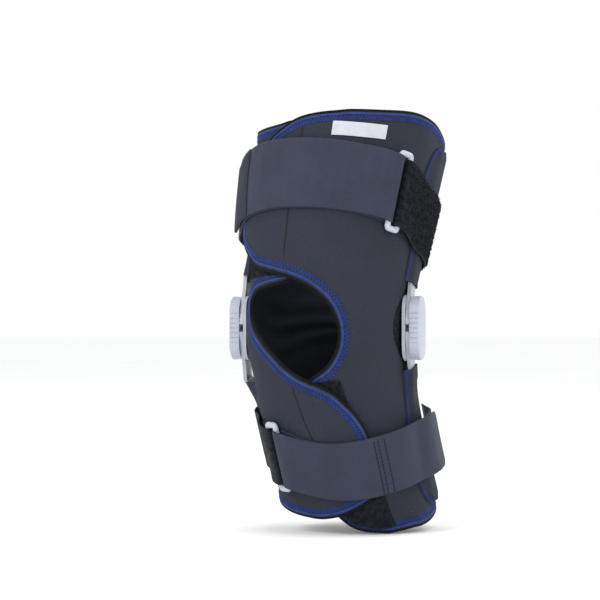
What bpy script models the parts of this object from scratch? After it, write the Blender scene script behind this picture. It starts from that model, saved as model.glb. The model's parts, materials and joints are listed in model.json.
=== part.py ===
"""Wraparound knee brace with two geared side hinges, as worn on a knee bent by 30 degrees.

Metres, +Z up, -Y the front of the knee, +X the wearer's left side. The origin is the middle of
the knee, halfway between the two hinges. The sleeve is one neoprene sheet wrapped round a leg:
its two edges overlap in front, above and below an opening for the kneecap. Every soft piece is
placed on the same leg surface by an angle round the leg, a height along it and a lift off it.
"""

from math import cos, degrees, pi, radians, sin, tan

import bmesh
import bpy
import numpy as np
from mathutils import Matrix, Vector

# Pose of the knee
SEGMENT_TILT = radians(15)
MOST_BEND = radians(40)
THIGH_LEAN = radians(5.2)
CALF_LEAN = radians(8.8)
KNEE_ROUNDING = 0.030

# Leg: height along it, half width, half depth
LEG_STATIONS = (
    (-0.160, 0.0560, 0.0570),
    (-0.100, 0.0545, 0.0590),
    (-0.050, 0.0555, 0.0600),
    (0.000, 0.0580, 0.0620),
    (0.030, 0.0588, 0.0620),
    (0.055, 0.0608, 0.0640),
    (0.085, 0.0635, 0.0690),
    (0.120, 0.0665, 0.0730),
    (0.160, 0.0700, 0.0760),
)
LEG_SQUARENESS = 2.3

# Layers
WRAP = 0.0030
PATCH = 0.0008
STRAP = 0.0018
POCKET = 0.0015
FIT = 0.0003
SOFT_FIT = 0.0006
LAP_LIFT = WRAP + 2 * PATCH + 3 * SOFT_FIT + FIT
LAP_RAMP = (-3, 30)
EDGE_TAPE = 0.0013

# Sleeve edges: height along the leg, angle from the front in degrees
FLAP_TOP = 0.1515
RIGHT_EDGE = (
    (-0.158, 44), (-0.151, 36), (-0.144, 23), (-0.127, 3), (-0.115, -4), (-0.060, -6),
    (-0.038, -5), (-0.032, 0), (-0.026, 14), (-0.015, 24), (-0.004, 27), (0.007, 24),
    (0.0186, 12), (0.026, -4), (0.033, -32), (0.042, -46), (0.059, -61), (0.076, -55),
    (0.110, -38), (0.121, -35), (0.135, -23), (0.144, -11), (FLAP_TOP, 12),
)
LEFT_EDGE = (
    (-0.123, -4), (-0.1205, 12), (-0.113, 24), (-0.097, 35), (-0.081, 37), (-0.051, 25),
    (-0.037, 13), (-0.030, -7), (-0.011, -36), (-0.001, -49), (0.008, -53), (0.017, -50),
    (0.0215, -40), (0.025, -18), (0.030, -6), (0.040, -4), (0.125, -4), (0.140, -14),
    (0.147, -34),
)
# Angle round the leg from the left edge, past the back at -180, to the right edge: top, bottom
HEM_STATIONS = (
    (-350, FLAP_TOP, -0.1510),
    (-330, 0.1570, -0.1525),
    (-306, 0.1640, -0.1545),
    (-290, 0.1655, -0.1560),
    (-270, 0.1640, -0.1580),
    (-180, 0.1580, -0.1460),
    (-90, 0.1490, -0.1290),
    (-62, 0.1470, -0.1260),
    (-34, 0.1470, -0.1310),
    (0, 0.1470, -0.1365),
)
SIDE_ANGLE = 62

# Hinge
PIVOT_RISE = 0.0115
HINGE_CLEARANCE = 0.0016
HINGE_BASE = LEG_STATIONS[3][1] + WRAP + HINGE_CLEARANCE
PLATE = 0.0024
PLATE_WIDTH = 0.0240
PLATE_LENGTH = 0.0520
ARM = 0.0028
ARM_WIDTH = 0.0150
OUTER_PLATE = 0.0015
COVER_WIDTH = 0.0250
COVER_LENGTH = 0.0500
COVER_DEPTH = 0.0088
COVER_WALL = 0.0018
COVER_RIDGES = 7
RIVET_RADIUS = 0.0025
RIVET_HEAD = 0.0040
RIVET_HEAD_DEPTH = 0.0010
TOOTH_RISE = 0.0014
SHOULDER = 0.0098
ARM_REACH = {"thigh": {"left": 0.115, "right": 0.122}, "calf": {"left": 0.096, "right": 0.115}}
ARM_ANGLE = 93
PAD_HALF = (0.026, 0.044)
PAD = 0.0022

# Hinge pockets: lower end, upper end, half width at the knee end, half width at the far end
POCKETS = {
    ("thigh", "left"): (0.040, 0.141, 0.020, 0.022),
    ("thigh", "right"): (0.040, 0.151, 0.020, 0.022),
    ("calf", "left"): (-0.118, -0.040, 0.015, 0.020),
    ("calf", "right"): (-0.144, -0.040, 0.015, 0.022),
}

# Straps: width, ring angle, free end, sewn end, tab end, and the height of the middle by angle
RING_BAR = 0.0021
RING_PITCH = 0.0098
STRAPS = {
    "thigh": dict(
        width=0.0510, ring=49, turn=-1, free_end=-84, sewn_end=-124, tab_end=118,
        middle=((-124, 0.100), (-80, 0.099), (0, 0.101), (45, 0.0965), (85, 0.085), (120, 0.083)),
    ),
    "calf": dict(
        width=0.0450, ring=-32, turn=1, free_end=112, sewn_end=124, tab_end=-118,
        middle=((-120, -0.078), (-60, -0.079), (-30, -0.085), (10, -0.0975), (50, -0.1000), (124, -0.1030)),
    ),
}

# Label
LABEL_ANGLES = (5, 35)
LABEL_HEIGHT = 0.0110
LABEL_MIDDLE = (0.1365, 0.1420)
LABEL = 0.0005

NEOPRENE = ((0.048, 0.053, 0.068, 1), 0.85, 0.0)
STRAP_CLOTH = ((0.058, 0.066, 0.102, 1), 0.60, 0.0)
LOOP_PILE = ((0.014, 0.016, 0.020, 1), 0.95, 0.0)
HOOK_TAPE = ((0.020, 0.021, 0.024, 1), 0.80, 0.0)
TAPE_BLACK = ((0.010, 0.010, 0.012, 1), 0.80, 0.0)
GREY_PLASTIC = ((0.560, 0.580, 0.620, 1), 0.42, 0.0)
ALUMINIUM = ((0.720, 0.730, 0.750, 1), 0.35, 0.9)
STEEL = ((0.600, 0.600, 0.610, 1), 0.30, 1.0)
LABEL_WHITE = ((0.820, 0.830, 0.850, 1), 0.60, 0.0)

SIDES = {"left": -1, "right": 1}
SEGMENTS = {"thigh": 1, "calf": -1}

brace = bpy.data.collections.new("knee_brace")
cutters = bpy.data.collections.new("cutters")


def clear_scene():
    """Removes the objects that a new file holds."""
    for item in list(bpy.data.objects):
        bpy.data.objects.remove(item)
    bpy.context.scene.collection.children.link(brace)
    bpy.context.scene.collection.children.link(cutters)
    cutters.hide_render = True


def finish(name, look):
    """The material of this name, made once."""
    if name in bpy.data.materials:
        return bpy.data.materials[name]
    colour, roughness, metallic = look
    material = bpy.data.materials.new(name)
    material.use_nodes = True
    shader = material.node_tree.nodes["Principled BSDF"]
    shader.inputs["Base Color"].default_value = colour
    shader.inputs["Roughness"].default_value = roughness
    shader.inputs["Metallic"].default_value = metallic
    material.diffuse_color = colour
    return material


def add_object(name, mesh, look=None):
    """Links a mesh as a piece of the brace, or as a cutter when it has no look."""
    item = bpy.data.objects.new(name, mesh)
    if look:
        brace.objects.link(item)
        mesh.materials.clear()
        mesh.materials.append(finish(*look))
        return item
    cutters.objects.link(item)
    item.hide_render = True
    item.display_type = "WIRE"
    return item


def smoothstep(x):
    x = np.clip(x, 0, 1)
    return x * x * (3 - 2 * x)


def through(stations, column, x):
    """A smooth curve through one column of the stations, read at x: a cubic on each span."""
    at = np.array([row[0] for row in stations], float)
    value = np.array([row[column] for row in stations], float)
    slope = np.gradient(value, at)
    x = np.clip(x, at[0], at[-1])
    span = np.clip(np.searchsorted(at, x) - 1, 0, len(at) - 2)
    length = at[span + 1] - at[span]
    u = (x - at[span]) / length
    return (
        (2 * u**3 - 3 * u**2 + 1) * value[span]
        + (u**3 - 2 * u**2 + u) * length * slope[span]
        + (3 * u**2 - 2 * u**3) * value[span + 1]
        + (u**3 - u**2) * length * slope[span + 1]
    )


def straight_through(stations, column, x):
    """Straight lines through one column of the stations, read at x."""
    return np.interp(x, [row[0] for row in stations], [row[column] for row in stations])


def leg_centre(height):
    """The middle of the leg: two leaning lines joined by a round bend at the knee."""
    along = np.sqrt(height**2 + KNEE_ROUNDING**2) - KNEE_ROUNDING
    lean = np.where(height > 0, tan(THIGH_LEAN), tan(CALF_LEAN))
    return np.stack([lean * along, sin(SEGMENT_TILT) * along, cos(SEGMENT_TILT) * height], -1)


def leg_radius(angle, height):
    """The leg's radius at an angle in radians: a rounded ellipse."""
    wide = through(LEG_STATIONS, 1, height)
    deep = through(LEG_STATIONS, 2, height)
    across = (np.abs(np.sin(angle)) / wide) ** LEG_SQUARENESS
    fore = (np.abs(np.cos(angle)) / deep) ** LEG_SQUARENESS
    return (across + fore) ** (-1 / LEG_SQUARENESS)


def on_leg(angle_deg, height, lift=0.0):
    """Points at an angle from the front in degrees, a height along the leg and a lift off it."""
    angle, height, lift = np.broadcast_arrays(
        np.radians(np.asarray(angle_deg, float)), np.asarray(height, float), np.asarray(lift, float)
    )
    step = 1e-4
    along = leg_centre(height + step) - leg_centre(height - step)
    along /= np.linalg.norm(along, axis=-1, keepdims=True)
    across = np.array([1.0, 0, 0]) - along * along[..., :1]
    across /= np.linalg.norm(across, axis=-1, keepdims=True)
    back = np.cross(along, across)
    out = np.sin(angle)[..., None] * across - np.cos(angle)[..., None] * back
    return leg_centre(height) + (leg_radius(angle, height) + lift)[..., None] * out


def lap_lift(angle_deg, height, panel):
    """How far a front panel is lifted to pass over the other: the right one above the knee
    opening, and the left one below it. Each rises within the height of the opening, from a
    station of its own edge to another."""
    low, high = LAP_RAMP
    if panel == "right":
        start, end = RIGHT_EDGE[7][0] * 0.69, RIGHT_EDGE[12][0]
        across = (high - angle_deg) / (high - low)
    else:
        start, end = LEFT_EDGE[10][0] * 1.5, LEFT_EDGE[7][0]
        across = (angle_deg + high) / (high - low)
    return LAP_LIFT * smoothstep(across) * smoothstep((height - start) / (end - start))


def outermost_lift(angle_deg, height):
    """The lift of whichever front panel is outside."""
    return np.maximum(lap_lift(angle_deg, height, "right"), lap_lift(angle_deg, height, "left"))


def fold_height(y):
    """Half the height that the knee takes up at a depth y when it goes straight or bends fully.
    Anything that turns with the thigh or the calf stays beyond it."""
    room = 0.0008
    back = PIVOT_RISE + (y * sin(MOST_BEND) - PIVOT_RISE + room) / cos(MOST_BEND)
    front = PIVOT_RISE + (-y * sin(SEGMENT_TILT) - PIVOT_RISE + room) / cos(SEGMENT_TILT)
    return max(room / 2, back, front)


def closed_sheet(name, angle_deg, height, low, high, look):
    """A closed solid between two lifts over a grid of angles and heights: two skins joined by
    a strip along each of the four edges."""
    inner = on_leg(angle_deg, height, low)
    outer = on_leg(angle_deg, height, high)
    return closed_grid(name, inner, outer, look)


def closed_grid(name, inner, outer, look):
    """A closed solid between two grids of points of the same size."""
    rows, columns = inner.shape[:2]
    points = np.concatenate([inner.reshape(-1, 3), outer.reshape(-1, 3)])
    index = np.arange(rows * columns).reshape(rows, columns)
    quads = np.stack([index[:-1, :-1], index[:-1, 1:], index[1:, 1:], index[1:, :-1]], -1).reshape(-1, 4)
    rim = np.concatenate([index[0], index[1:, -1], index[-1, -2::-1], index[-2:0:-1, 0]])
    after = np.roll(rim, -1)
    far = rows * columns
    walls = np.stack([rim, rim + far, after + far, after], -1)
    faces = np.concatenate([quads, quads[:, ::-1] + far, walls])
    mesh = bpy.data.meshes.new(name)
    mesh.from_pydata(points.tolist(), [], faces.tolist())
    tidy_normals(mesh)
    return add_object(name, mesh, look)


def tidy_normals(mesh):
    """Turns every face of a closed mesh outwards."""
    work = bmesh.new()
    work.from_mesh(mesh)
    bmesh.ops.recalc_face_normals(work, faces=work.faces)
    work.to_mesh(mesh)
    work.free()


def flat_solid(name, loops, depth, look=None):
    """A plate: closed outlines in the YZ plane, the inner ones holes, extruded along X."""
    curve = bpy.data.curves.new(name, "CURVE")
    curve.dimensions = "2D"
    curve.fill_mode = "BOTH"
    curve.extrude = depth / 2
    for loop in loops:
        spline = curve.splines.new("POLY")
        spline.points.add(len(loop) - 1)
        spline.use_cyclic_u = True
        for point, (y, z) in zip(spline.points, loop):
            point.co = (y, z, 0, 1)
    guide = bpy.data.objects.new(name + "_outline", curve)
    cutters.objects.link(guide)
    bpy.context.view_layer.update()
    graph = bpy.context.evaluated_depsgraph_get()
    mesh = bpy.data.meshes.new_from_object(guide.evaluated_get(graph))
    bpy.data.objects.remove(guide)
    work = bmesh.new()
    work.from_mesh(mesh)
    bmesh.ops.remove_doubles(work, verts=work.verts, dist=1e-6)
    yz_plane = Matrix(((0, 0, 1, 0), (1, 0, 0, 0), (0, 1, 0, 0), (0, 0, 0, 1)))
    bmesh.ops.transform(work, matrix=yz_plane, verts=work.verts)
    bmesh.ops.recalc_face_normals(work, faces=work.faces)
    work.to_mesh(mesh)
    work.free()
    return add_object(name, mesh, look)


def cut(item, cutter, operation="DIFFERENCE"):
    """Adds a Boolean and leaves it on the object."""
    boolean = item.modifiers.new(cutter.name, "BOOLEAN")
    boolean.operation = operation
    boolean.object = cutter
    boolean.solver = "EXACT"


def circle(radius, centre=(0, 0), count=16):
    turns = np.arange(count) * 2 * pi / count
    return [(centre[0] + radius * cos(a), centre[1] + radius * sin(a)) for a in turns]


def obround(width, length, count=9):
    """A slot shape, upright: two half circles joined by straight sides."""
    radius = width / 2
    straight = length / 2 - radius
    turns = np.linspace(0, pi, count)
    upper = [(radius * cos(a), straight + radius * sin(a)) for a in turns]
    return upper + [(-y, -z) for y, z in upper]


# Sleeve


def sleeve_grid():
    """Angles and heights of the whole sheet. The columns run from the left edge round the back
    to the right edge, and the rows from the lower hem to the upper one."""
    left_end = np.linspace(0, 1, 11)[:-1]
    around = np.linspace(-SIDE_ANGLE, SIDE_ANGLE - 360, 17)
    right_end = np.linspace(0, 1, 12)[1:]
    nominal = np.concatenate([-4 + left_end * (4 - SIDE_ANGLE), around, -298 - right_end * 50])
    rows = np.concatenate([np.linspace(-1, -0.36, 5)[:-1], np.linspace(-0.36, 0.40, 16), np.linspace(0.40, 1, 6)[1:]])
    top = straight_through(HEM_STATIONS, 1, nominal)
    bottom = straight_through(HEM_STATIONS, 2, nominal)
    full = 0.110
    height = rows[:, None] * full / 0.75
    upper = full + (rows[:, None] - 0.75) / 0.25 * (top - full)
    lower = -full + (rows[:, None] + 0.75) / 0.25 * (-bottom - full)
    height = np.where(rows[:, None] > 0.75, upper, np.where(rows[:, None] < -0.75, lower, height))
    left = through(LEFT_EDGE, 1, height)
    right = through(RIGHT_EDGE, 1, height) - 360
    angle = np.broadcast_to(nominal, height.shape).copy()
    count = len(left_end)
    angle[:, :count] = left[:, :count] + left_end * (-SIDE_ANGLE - left[:, :count])
    count = len(right_end)
    angle[:, -count:] = SIDE_ANGLE - 360 + right_end * (right[:, -count:] - SIDE_ANGLE + 360)
    return angle, height


def sleeve_lift(angle, height):
    """Lift of the sheet: only its two ends in front leave the leg."""
    left = np.where(angle > -SIDE_ANGLE, lap_lift(angle, height, "left"), 0)
    right = np.where(angle < SIDE_ANGLE - 360, lap_lift(angle + 360, height, "right"), 0)
    return left + right


def fold_wedge(name, depths, shrink, reach=(-0.2, 0.2)):
    """A cutter for the room that the knee folds into, between two depths."""
    half = [fold_height(y) - shrink for y in depths]
    loop = [(y, h) for y, h in zip(depths, half)] + [(y, -h) for y, h in zip(depths[::-1], half[::-1])]
    wedge = flat_solid(name, [loop], reach[1] - reach[0])
    for vertex in wedge.data.vertices:
        vertex.co.x += (reach[0] + reach[1]) / 2
    return wedge


def make_sleeve():
    """The sheet, split where the knee folds: it turns with the thigh above and the calf below,
    and the soft pieces between them stretch and crumple."""
    angle, height = sleeve_grid()
    lift = sleeve_lift(angle, height)
    look = ("neoprene", NEOPRENE)
    far = 0.3
    fold_depths = (-0.2, -0.003, 0.003, 0.2)
    wedge = fold_wedge("fold_room", fold_depths, 0)
    above = flat_solid("above_knee", [[(-far, 0), (far, 0), (far, far), (-far, far)]], 1)
    below = flat_solid("below_knee", [[(-far, -far), (far, -far), (far, 0), (-far, 0)]], 1)
    windows = [pad_cutter(side, 0) for side in SIDES]
    for segment, half in (("thigh", above), ("calf", below)):
        piece = closed_sheet(f"{segment}_wrap", angle, height, lift, lift + WRAP, look)
        cut(piece, half, "INTERSECT")
        cut(piece, wedge)
        for window in windows:
            cut(piece, window)
    gussets = {
        "knee_front_left": ((-0.2, -0.020), (-0.2, -0.004)),
        "knee_front_right": ((-0.2, -0.020), (-0.004, 0.2)),
        "popliteal_panel": ((0.024, 0.2), (-0.2, 0.2)),
    }
    for name, (depths, reach) in gussets.items():
        piece = closed_sheet(name, angle, height, lift, lift + WRAP, look)
        cut(piece, fold_wedge(name + "_room", depths, 2 * FIT, reach), "INTERSECT")
        for window in windows:
            cut(piece, window)


def pad_cutter(side, shrink):
    """The oval window in the sleeve behind a hinge."""
    across, upright = (half - shrink for half in PAD_HALF)
    turns = np.arange(28) * 2 * pi / 28
    loop = [(0.002 + across * cos(a), upright * sin(a)) for a in turns]
    oval = flat_solid(f"window_{side}_{round(shrink * 1e4)}", [loop], 0.05)
    for vertex in oval.data.vertices:
        vertex.co.x += SIDES[side] * 0.055
    return oval


def make_pads():
    """A soft pad behind each hinge, in the sleeve's window."""
    for side, sign in SIDES.items():
        angle = np.linspace(55, 130, 8)[None, :] * sign
        height = np.linspace(-0.055, 0.055, 6)[:, None]
        angle, height = np.broadcast_arrays(angle, height)
        pad = closed_sheet(f"hinge_pad_{side}", angle, height, FIT, FIT + PAD, ("loop_pile", LOOP_PILE))
        cut(pad, pad_cutter(side, FIT), "INTERSECT")


def patch(name, angles, heights, low, depth, look, steps=(7, 4)):
    """A four-sided patch on the leg, from two angles and two heights."""
    angle = np.linspace(angles[0], angles[1], steps[0])[None, :]
    height = np.linspace(heights[0], heights[1], steps[1])[:, None]
    angle, height = np.broadcast_arrays(angle, height)
    return closed_sheet(name, angle, height, low, low + depth, look)


def make_fastening_patches():
    """Hook tape inside each flap, and the pile on the panel that it closes onto."""
    pile = ("loop_pile", LOOP_PILE)
    hook = ("hook_tape", HOOK_TAPE)
    on_wrap = WRAP + SOFT_FIT
    patch("thigh_wing_loop", (-60, -8), (0.046, 0.130), on_wrap, PATCH, pile)
    patch("thigh_flap_hook", (-32, -12), (0.052, 0.126), on_wrap + PATCH + SOFT_FIT, PATCH - FIT, hook)
    patch("calf_wing_loop", (2, 36), (-0.116, -0.046), on_wrap, PATCH, pile)
    patch("calf_flap_hook", (6, 22), (-0.108, -0.052), on_wrap + PATCH + SOFT_FIT, PATCH - FIT, hook)


def make_label():
    """A blank woven label sewn on near the upper hem."""
    angle = np.linspace(*LABEL_ANGLES, 7)[None, :]
    middle = LABEL_MIDDLE[0] + (LABEL_MIDDLE[1] - LABEL_MIDDLE[0]) * np.linspace(0, 1, 7)
    height = middle[None, :] + np.array([-0.5, 0.5])[:, None] * LABEL_HEIGHT
    angle = np.broadcast_to(angle, height.shape)
    low = WRAP + SOFT_FIT + outermost_lift(angle, height)
    closed_sheet("label", angle, height, low, low + LABEL, ("label_white", LABEL_WHITE))


def make_binding(segment):
    """Tape round the sleeve's edge: up one front edge, along the hem and down the other."""
    sign = SEGMENTS[segment]
    middle = WRAP / 2
    angle, height = sleeve_grid()
    grid = np.stack([angle, height], -1)[::sign]
    beyond = grid[:, 0, 1] * sign > 0
    left = grid[beyond, 0]
    beyond = grid[:, -1, 1] * sign > 0
    right = grid[beyond, -1][::-1]
    path = np.concatenate([left, grid[-1, 1:-1], right])
    radius = 0.068
    flat = path * np.array([radians(1) * radius, 1])
    ahead = np.gradient(flat, axis=0)
    ahead /= np.linalg.norm(ahead, axis=1, keepdims=True)
    outwards = np.stack([-ahead[:, 1], ahead[:, 0]], -1) * -sign
    flat = flat + outwards * (EDGE_TAPE + 3 * SOFT_FIT)
    angle = flat[:, 0] / (radians(1) * radius)
    height = flat[:, 1]
    points = on_leg(angle, height, sleeve_lift(angle, height) + middle)
    room = np.array([abs(z) - fold_height(y) for y, z in points[:, 1:]])
    points = points[room > 2 * EDGE_TAPE]
    return tube(f"{segment}_binding", points, EDGE_TAPE, ("edge_tape", TAPE_BLACK))


def tube(name, points, radius, look, closed=False, roundness=0):
    """A bar along points, as a mesh: square at no roundness, and rounder with more."""
    curve = bpy.data.curves.new(name, "CURVE")
    curve.dimensions = "3D"
    curve.bevel_depth = radius
    curve.bevel_resolution = roundness
    curve.use_fill_caps = not closed
    spline = curve.splines.new("POLY")
    spline.points.add(len(points) - 1)
    spline.use_cyclic_u = closed
    for knot, point in zip(spline.points, points):
        knot.co = (*point, 1)
    guide = bpy.data.objects.new(name + "_path", curve)
    cutters.objects.link(guide)
    bpy.context.view_layer.update()
    graph = bpy.context.evaluated_depsgraph_get()
    mesh = bpy.data.meshes.new_from_object(guide.evaluated_get(graph))
    bpy.data.objects.remove(guide)
    work = bmesh.new()
    work.from_mesh(mesh)
    bmesh.ops.remove_doubles(work, verts=work.verts, dist=1e-6)
    bmesh.ops.recalc_face_normals(work, faces=work.faces)
    work.to_mesh(mesh)
    work.free()
    return add_object(name, mesh, look)


# Hinges


def tooth(angle):
    """Half of the outline of a gear tooth on each side of its middle: radius and angle."""
    flank = ((PIVOT_RISE - 0.0018, 9.0), (PIVOT_RISE, 6.4), (PIVOT_RISE + TOOTH_RISE, 3.2))
    rising = [(radius, angle - half) for radius, half in flank]
    falling = [(radius, angle + half) for radius, half in flank[::-1]]
    return rising + falling


def arm_outline(teeth, reach):
    """An arm pointing up from its pivot: geared below and behind, with a square shoulder in
    front that stops the knee from going past straight."""
    deep = PIVOT_RISE - FIT
    head = [(-SHOULDER, 0.004), (-SHOULDER, -deep), (-deep * tan(radians(17)), -deep)]
    gear = [(PIVOT_RISE - 0.0018, -13.0)]
    for middle in teeth:
        gear += tooth(middle)
    gear.append((PIVOT_RISE - 0.0018, 88.0))
    head += [(r * sin(radians(a)), -r * cos(radians(a))) for r, a in gear]
    half = ARM_WIDTH / 2
    head += [(PIVOT_RISE - 0.0018, 0.006), (half, 0.018)]
    turns = np.linspace(0, pi, 9)
    tip = [(half * cos(a), reach - half + half * sin(a)) for a in turns]
    return head + tip + [(-half, 0.018)]


def side_slip(side, segment):
    """How much further along the leg a side is than the middle, at one distance from the knee:
    the leg leans sideways, and its sections lean with it."""
    lean = THIGH_LEAN if segment == "thigh" else CALF_LEAN
    return SIDES[side] * 0.068 * sin(lean)


def side_level(side, segment, reach):
    """Distance of an arm's inner face from the middle plane, by distance from its pivot: flat
    in the hinge, then bent onto the sleeve."""
    height = SEGMENTS[segment] * (reach + PIVOT_RISE + side_slip(side, segment))
    sides = SIDES[side] * np.linspace(ARM_ANGLE - 8, ARM_ANGLE + 8, 5)
    sleeve = (SIDES[side] * on_leg(sides, np.asarray(height)[..., None], WRAP + SOFT_FIT)[..., 0]).max(axis=-1)
    flat = HINGE_BASE + PLATE + FIT
    bent = flat + (sleeve - flat) * smoothstep((reach - 0.018) / 0.036)
    return np.maximum(bent, sleeve + (reach < 0.03) * (flat - sleeve))


def make_arm(side, segment):
    """A geared arm, cut flat and bent to the side of the leg."""
    sign = SEGMENTS[segment]
    reach = ARM_REACH[segment][side]
    teeth = (15, 45, 75) if segment == "thigh" else (0, 30, 60)
    outline = arm_outline(teeth, reach)
    hole = circle(RIVET_RADIUS + FIT)
    name = f"{'upper' if sign > 0 else 'lower'}_arm_{side}"
    arm = flat_solid(name, [outline, hole], ARM, ("aluminium", ALUMINIUM))
    work = bmesh.new()
    work.from_mesh(arm.data)
    for level in np.arange(0.020, reach - 0.004, 0.009):
        everything = work.verts[:] + work.edges[:] + work.faces[:]
        bmesh.ops.bisect_plane(work, geom=everything, plane_co=(0, 0, level), plane_no=(0, 0, 1))
    for vertex in work.verts:
        level = float(side_level(side, segment, max(vertex.co.z, 0.0)))
        vertex.co.x = SIDES[side] * (level + ARM / 2) + vertex.co.x
    turn = Matrix.Rotation(-SEGMENT_TILT, 4, "X")
    place = Matrix.Translation((0, 0, PIVOT_RISE)) @ turn
    if sign < 0:
        place = Matrix.Scale(-1, 4, (0, 0, 1)) @ place
    bmesh.ops.transform(work, matrix=place, verts=work.verts)
    bmesh.ops.triangulate(work, faces=work.faces)
    bmesh.ops.recalc_face_normals(work, faces=work.faces)
    pivot = Vector((0, 0, sign * PIVOT_RISE))
    bmesh.ops.translate(work, vec=-pivot, verts=work.verts)
    work.to_mesh(arm.data)
    work.free()
    arm.location = pivot


def shift_side(item, side, level, depth):
    """Moves a plate made on the middle plane out to its level on a side."""
    for vertex in item.data.vertices:
        vertex.co.x += SIDES[side] * (level + depth / 2)


def make_plates(side):
    """The two plates that carry both pivots."""
    holes = [circle(RIVET_RADIUS + FIT, (0, sign * PIVOT_RISE)) for sign in (1, -1)]
    inner = flat_solid(f"inner_plate_{side}", [obround(PLATE_WIDTH, PLATE_LENGTH)] + holes, PLATE,
                       ("grey_plastic", GREY_PLASTIC))
    shift_side(inner, side, HINGE_BASE, PLATE)
    narrow = 2 * (COVER_WALL + FIT)
    outline = obround(COVER_WIDTH - narrow, COVER_LENGTH - narrow)
    outer = flat_solid(f"outer_plate_{side}", [outline] + holes, OUTER_PLATE, ("aluminium", ALUMINIUM))
    shift_side(outer, side, HINGE_BASE + PLATE + ARM + 2 * FIT, OUTER_PLATE)


def make_rivets(side):
    """A turned rivet on each pivot: a shank through the plates and the arm, and a round head."""
    sign = SIDES[side]
    shank = PLATE + ARM + OUTER_PLATE + 3 * FIT
    profile = ((0, shank + RIVET_HEAD_DEPTH), (RIVET_HEAD * 0.7, shank + RIVET_HEAD_DEPTH), (RIVET_HEAD, shank + 0.0004),
               (RIVET_HEAD, shank), (RIVET_RADIUS, shank), (RIVET_RADIUS, 0), (0, 0))
    for label, rise in (("upper", PIVOT_RISE), ("lower", -PIVOT_RISE)):
        mesh = bpy.data.meshes.new(f"{label}_rivet_{side}")
        mesh.from_pydata([(r, 0, z) for r, z in profile], [(i, i + 1) for i in range(len(profile) - 1)], [])
        rivet = add_object(mesh.name, mesh, ("steel", STEEL))
        turning = rivet.modifiers.new("turned", "SCREW")
        turning.steps = 16
        turning.render_steps = 16
        turning.use_merge_vertices = True
        turning.merge_threshold = 0.00001
        rivet.rotation_euler = (0, sign * pi / 2, 0)
        rivet.location = (sign * HINGE_BASE, 0, rise)


def make_cover(side):
    """The snap-on cover: a domed shell with grip ridges on its two long edges."""
    sign = SIDES[side]
    base = HINGE_BASE + PLATE + ARM + 2 * FIT
    outline = np.array(obround(COVER_WIDTH, COVER_LENGTH, 11))
    rounds = ((1.0, 0.0), (1.0, 0.70), (0.975, 0.84), (0.91, 0.94), (0.80, 1.0))
    work = bmesh.new()
    rings = []
    for scale, rise in rounds:
        inset = (1 - scale) * COVER_WIDTH / 2
        length = np.linalg.norm(outline, axis=1, keepdims=True)
        ring = outline * (1 - inset / length)
        rings.append([work.verts.new((sign * (base + rise * COVER_DEPTH), y, z)) for y, z in ring])
    for low, high in zip(rings, rings[1:]):
        for i in range(len(low)):
            j = (i + 1) % len(low)
            work.faces.new((low[i], low[j], high[j], high[i]))
    work.faces.new(rings[-1])
    work.faces.new(rings[0][::-1])
    bmesh.ops.recalc_face_normals(work, faces=work.faces)
    mesh = bpy.data.meshes.new(f"hinge_cover_{side}")
    work.to_mesh(mesh)
    work.free()
    cover = add_object(mesh.name, mesh, ("grey_plastic", GREY_PLASTIC))
    wall = 2 * COVER_WALL
    hollow = flat_solid(f"hollow_{side}", [obround(COVER_WIDTH - wall, COVER_LENGTH - wall)], COVER_DEPTH)
    shift_side(hollow, side, base - COVER_WALL * 1.4, COVER_DEPTH)
    cut(cover, hollow)
    grooves = groove_cutter(side, base)
    cut(cover, grooves)


def groove_cutter(side, base):
    """Shallow grooves between the grip ridges, as one comb for each long edge."""
    pitch = 0.0036
    groove = 0.0012
    bite = 0.0007
    comb = []
    outer = COVER_WIDTH / 2 + 0.002
    edge = COVER_WIDTH / 2 - bite
    first = -(COVER_RIDGES - 1) / 2 * pitch
    comb.append((outer, first - groove))
    for ridge in range(COVER_RIDGES):
        z = first + ridge * pitch
        comb += [(outer - 0.001, z - groove / 2), (edge, z - groove / 2), (edge, z + groove / 2), (outer - 0.001, z + groove / 2)]
    comb.append((outer, -first + groove))
    back = flat_solid(f"grooves_{side}", [comb, [(-y, -z) for y, z in comb]], COVER_DEPTH)
    shift_side(back, side, base - 0.001, COVER_DEPTH)
    return back


# Pockets


def pocket_edge(segment, side, height):
    """Half width of a pocket by height: open at the knee end, and round at the far end."""
    low, high, near, far = POCKETS[segment, side]
    middle = (low + high) / 2
    half = (high - low) / 2
    along = np.clip(SEGMENTS[segment] * (height - middle) / half, 0, 1)
    knee_end = low if SEGMENTS[segment] > 0 else high
    share = np.abs(height - knee_end) / (high - low)
    width = near + (far - near) * smoothstep(share * 1.6)
    return width * np.sqrt(np.clip(1 - along**4, 0.02, 1))


def pocket_rise(segment, side, angle_deg, height, spread=0.0):
    """How far a pocket stands off the sleeve over its arm."""
    sign = SIDES[side]
    reach = np.abs(height) - PIVOT_RISE - side_slip(side, segment)
    arm = side_level(side, segment, reach) + ARM + 3 * SOFT_FIT
    bare = sign * on_leg(sign * ARM_ANGLE, height, WRAP)[..., 0]
    rise = np.maximum(arm - bare, 0)
    radius = leg_radius(np.radians(np.full_like(height, ARM_ANGLE)), height) + WRAP
    away = np.abs(np.radians(sign * angle_deg - ARM_ANGLE)) * radius
    edge = pocket_edge(segment, side, height) + spread
    inside = smoothstep((edge - 0.0015 - away) / np.maximum(edge - 0.0095, 0.004))
    low, high = POCKETS[segment, side][:2]
    ends = smoothstep((height - low + spread) / 0.004) * smoothstep((high - height + spread) / 0.004)
    return rise * inside, ends


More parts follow.
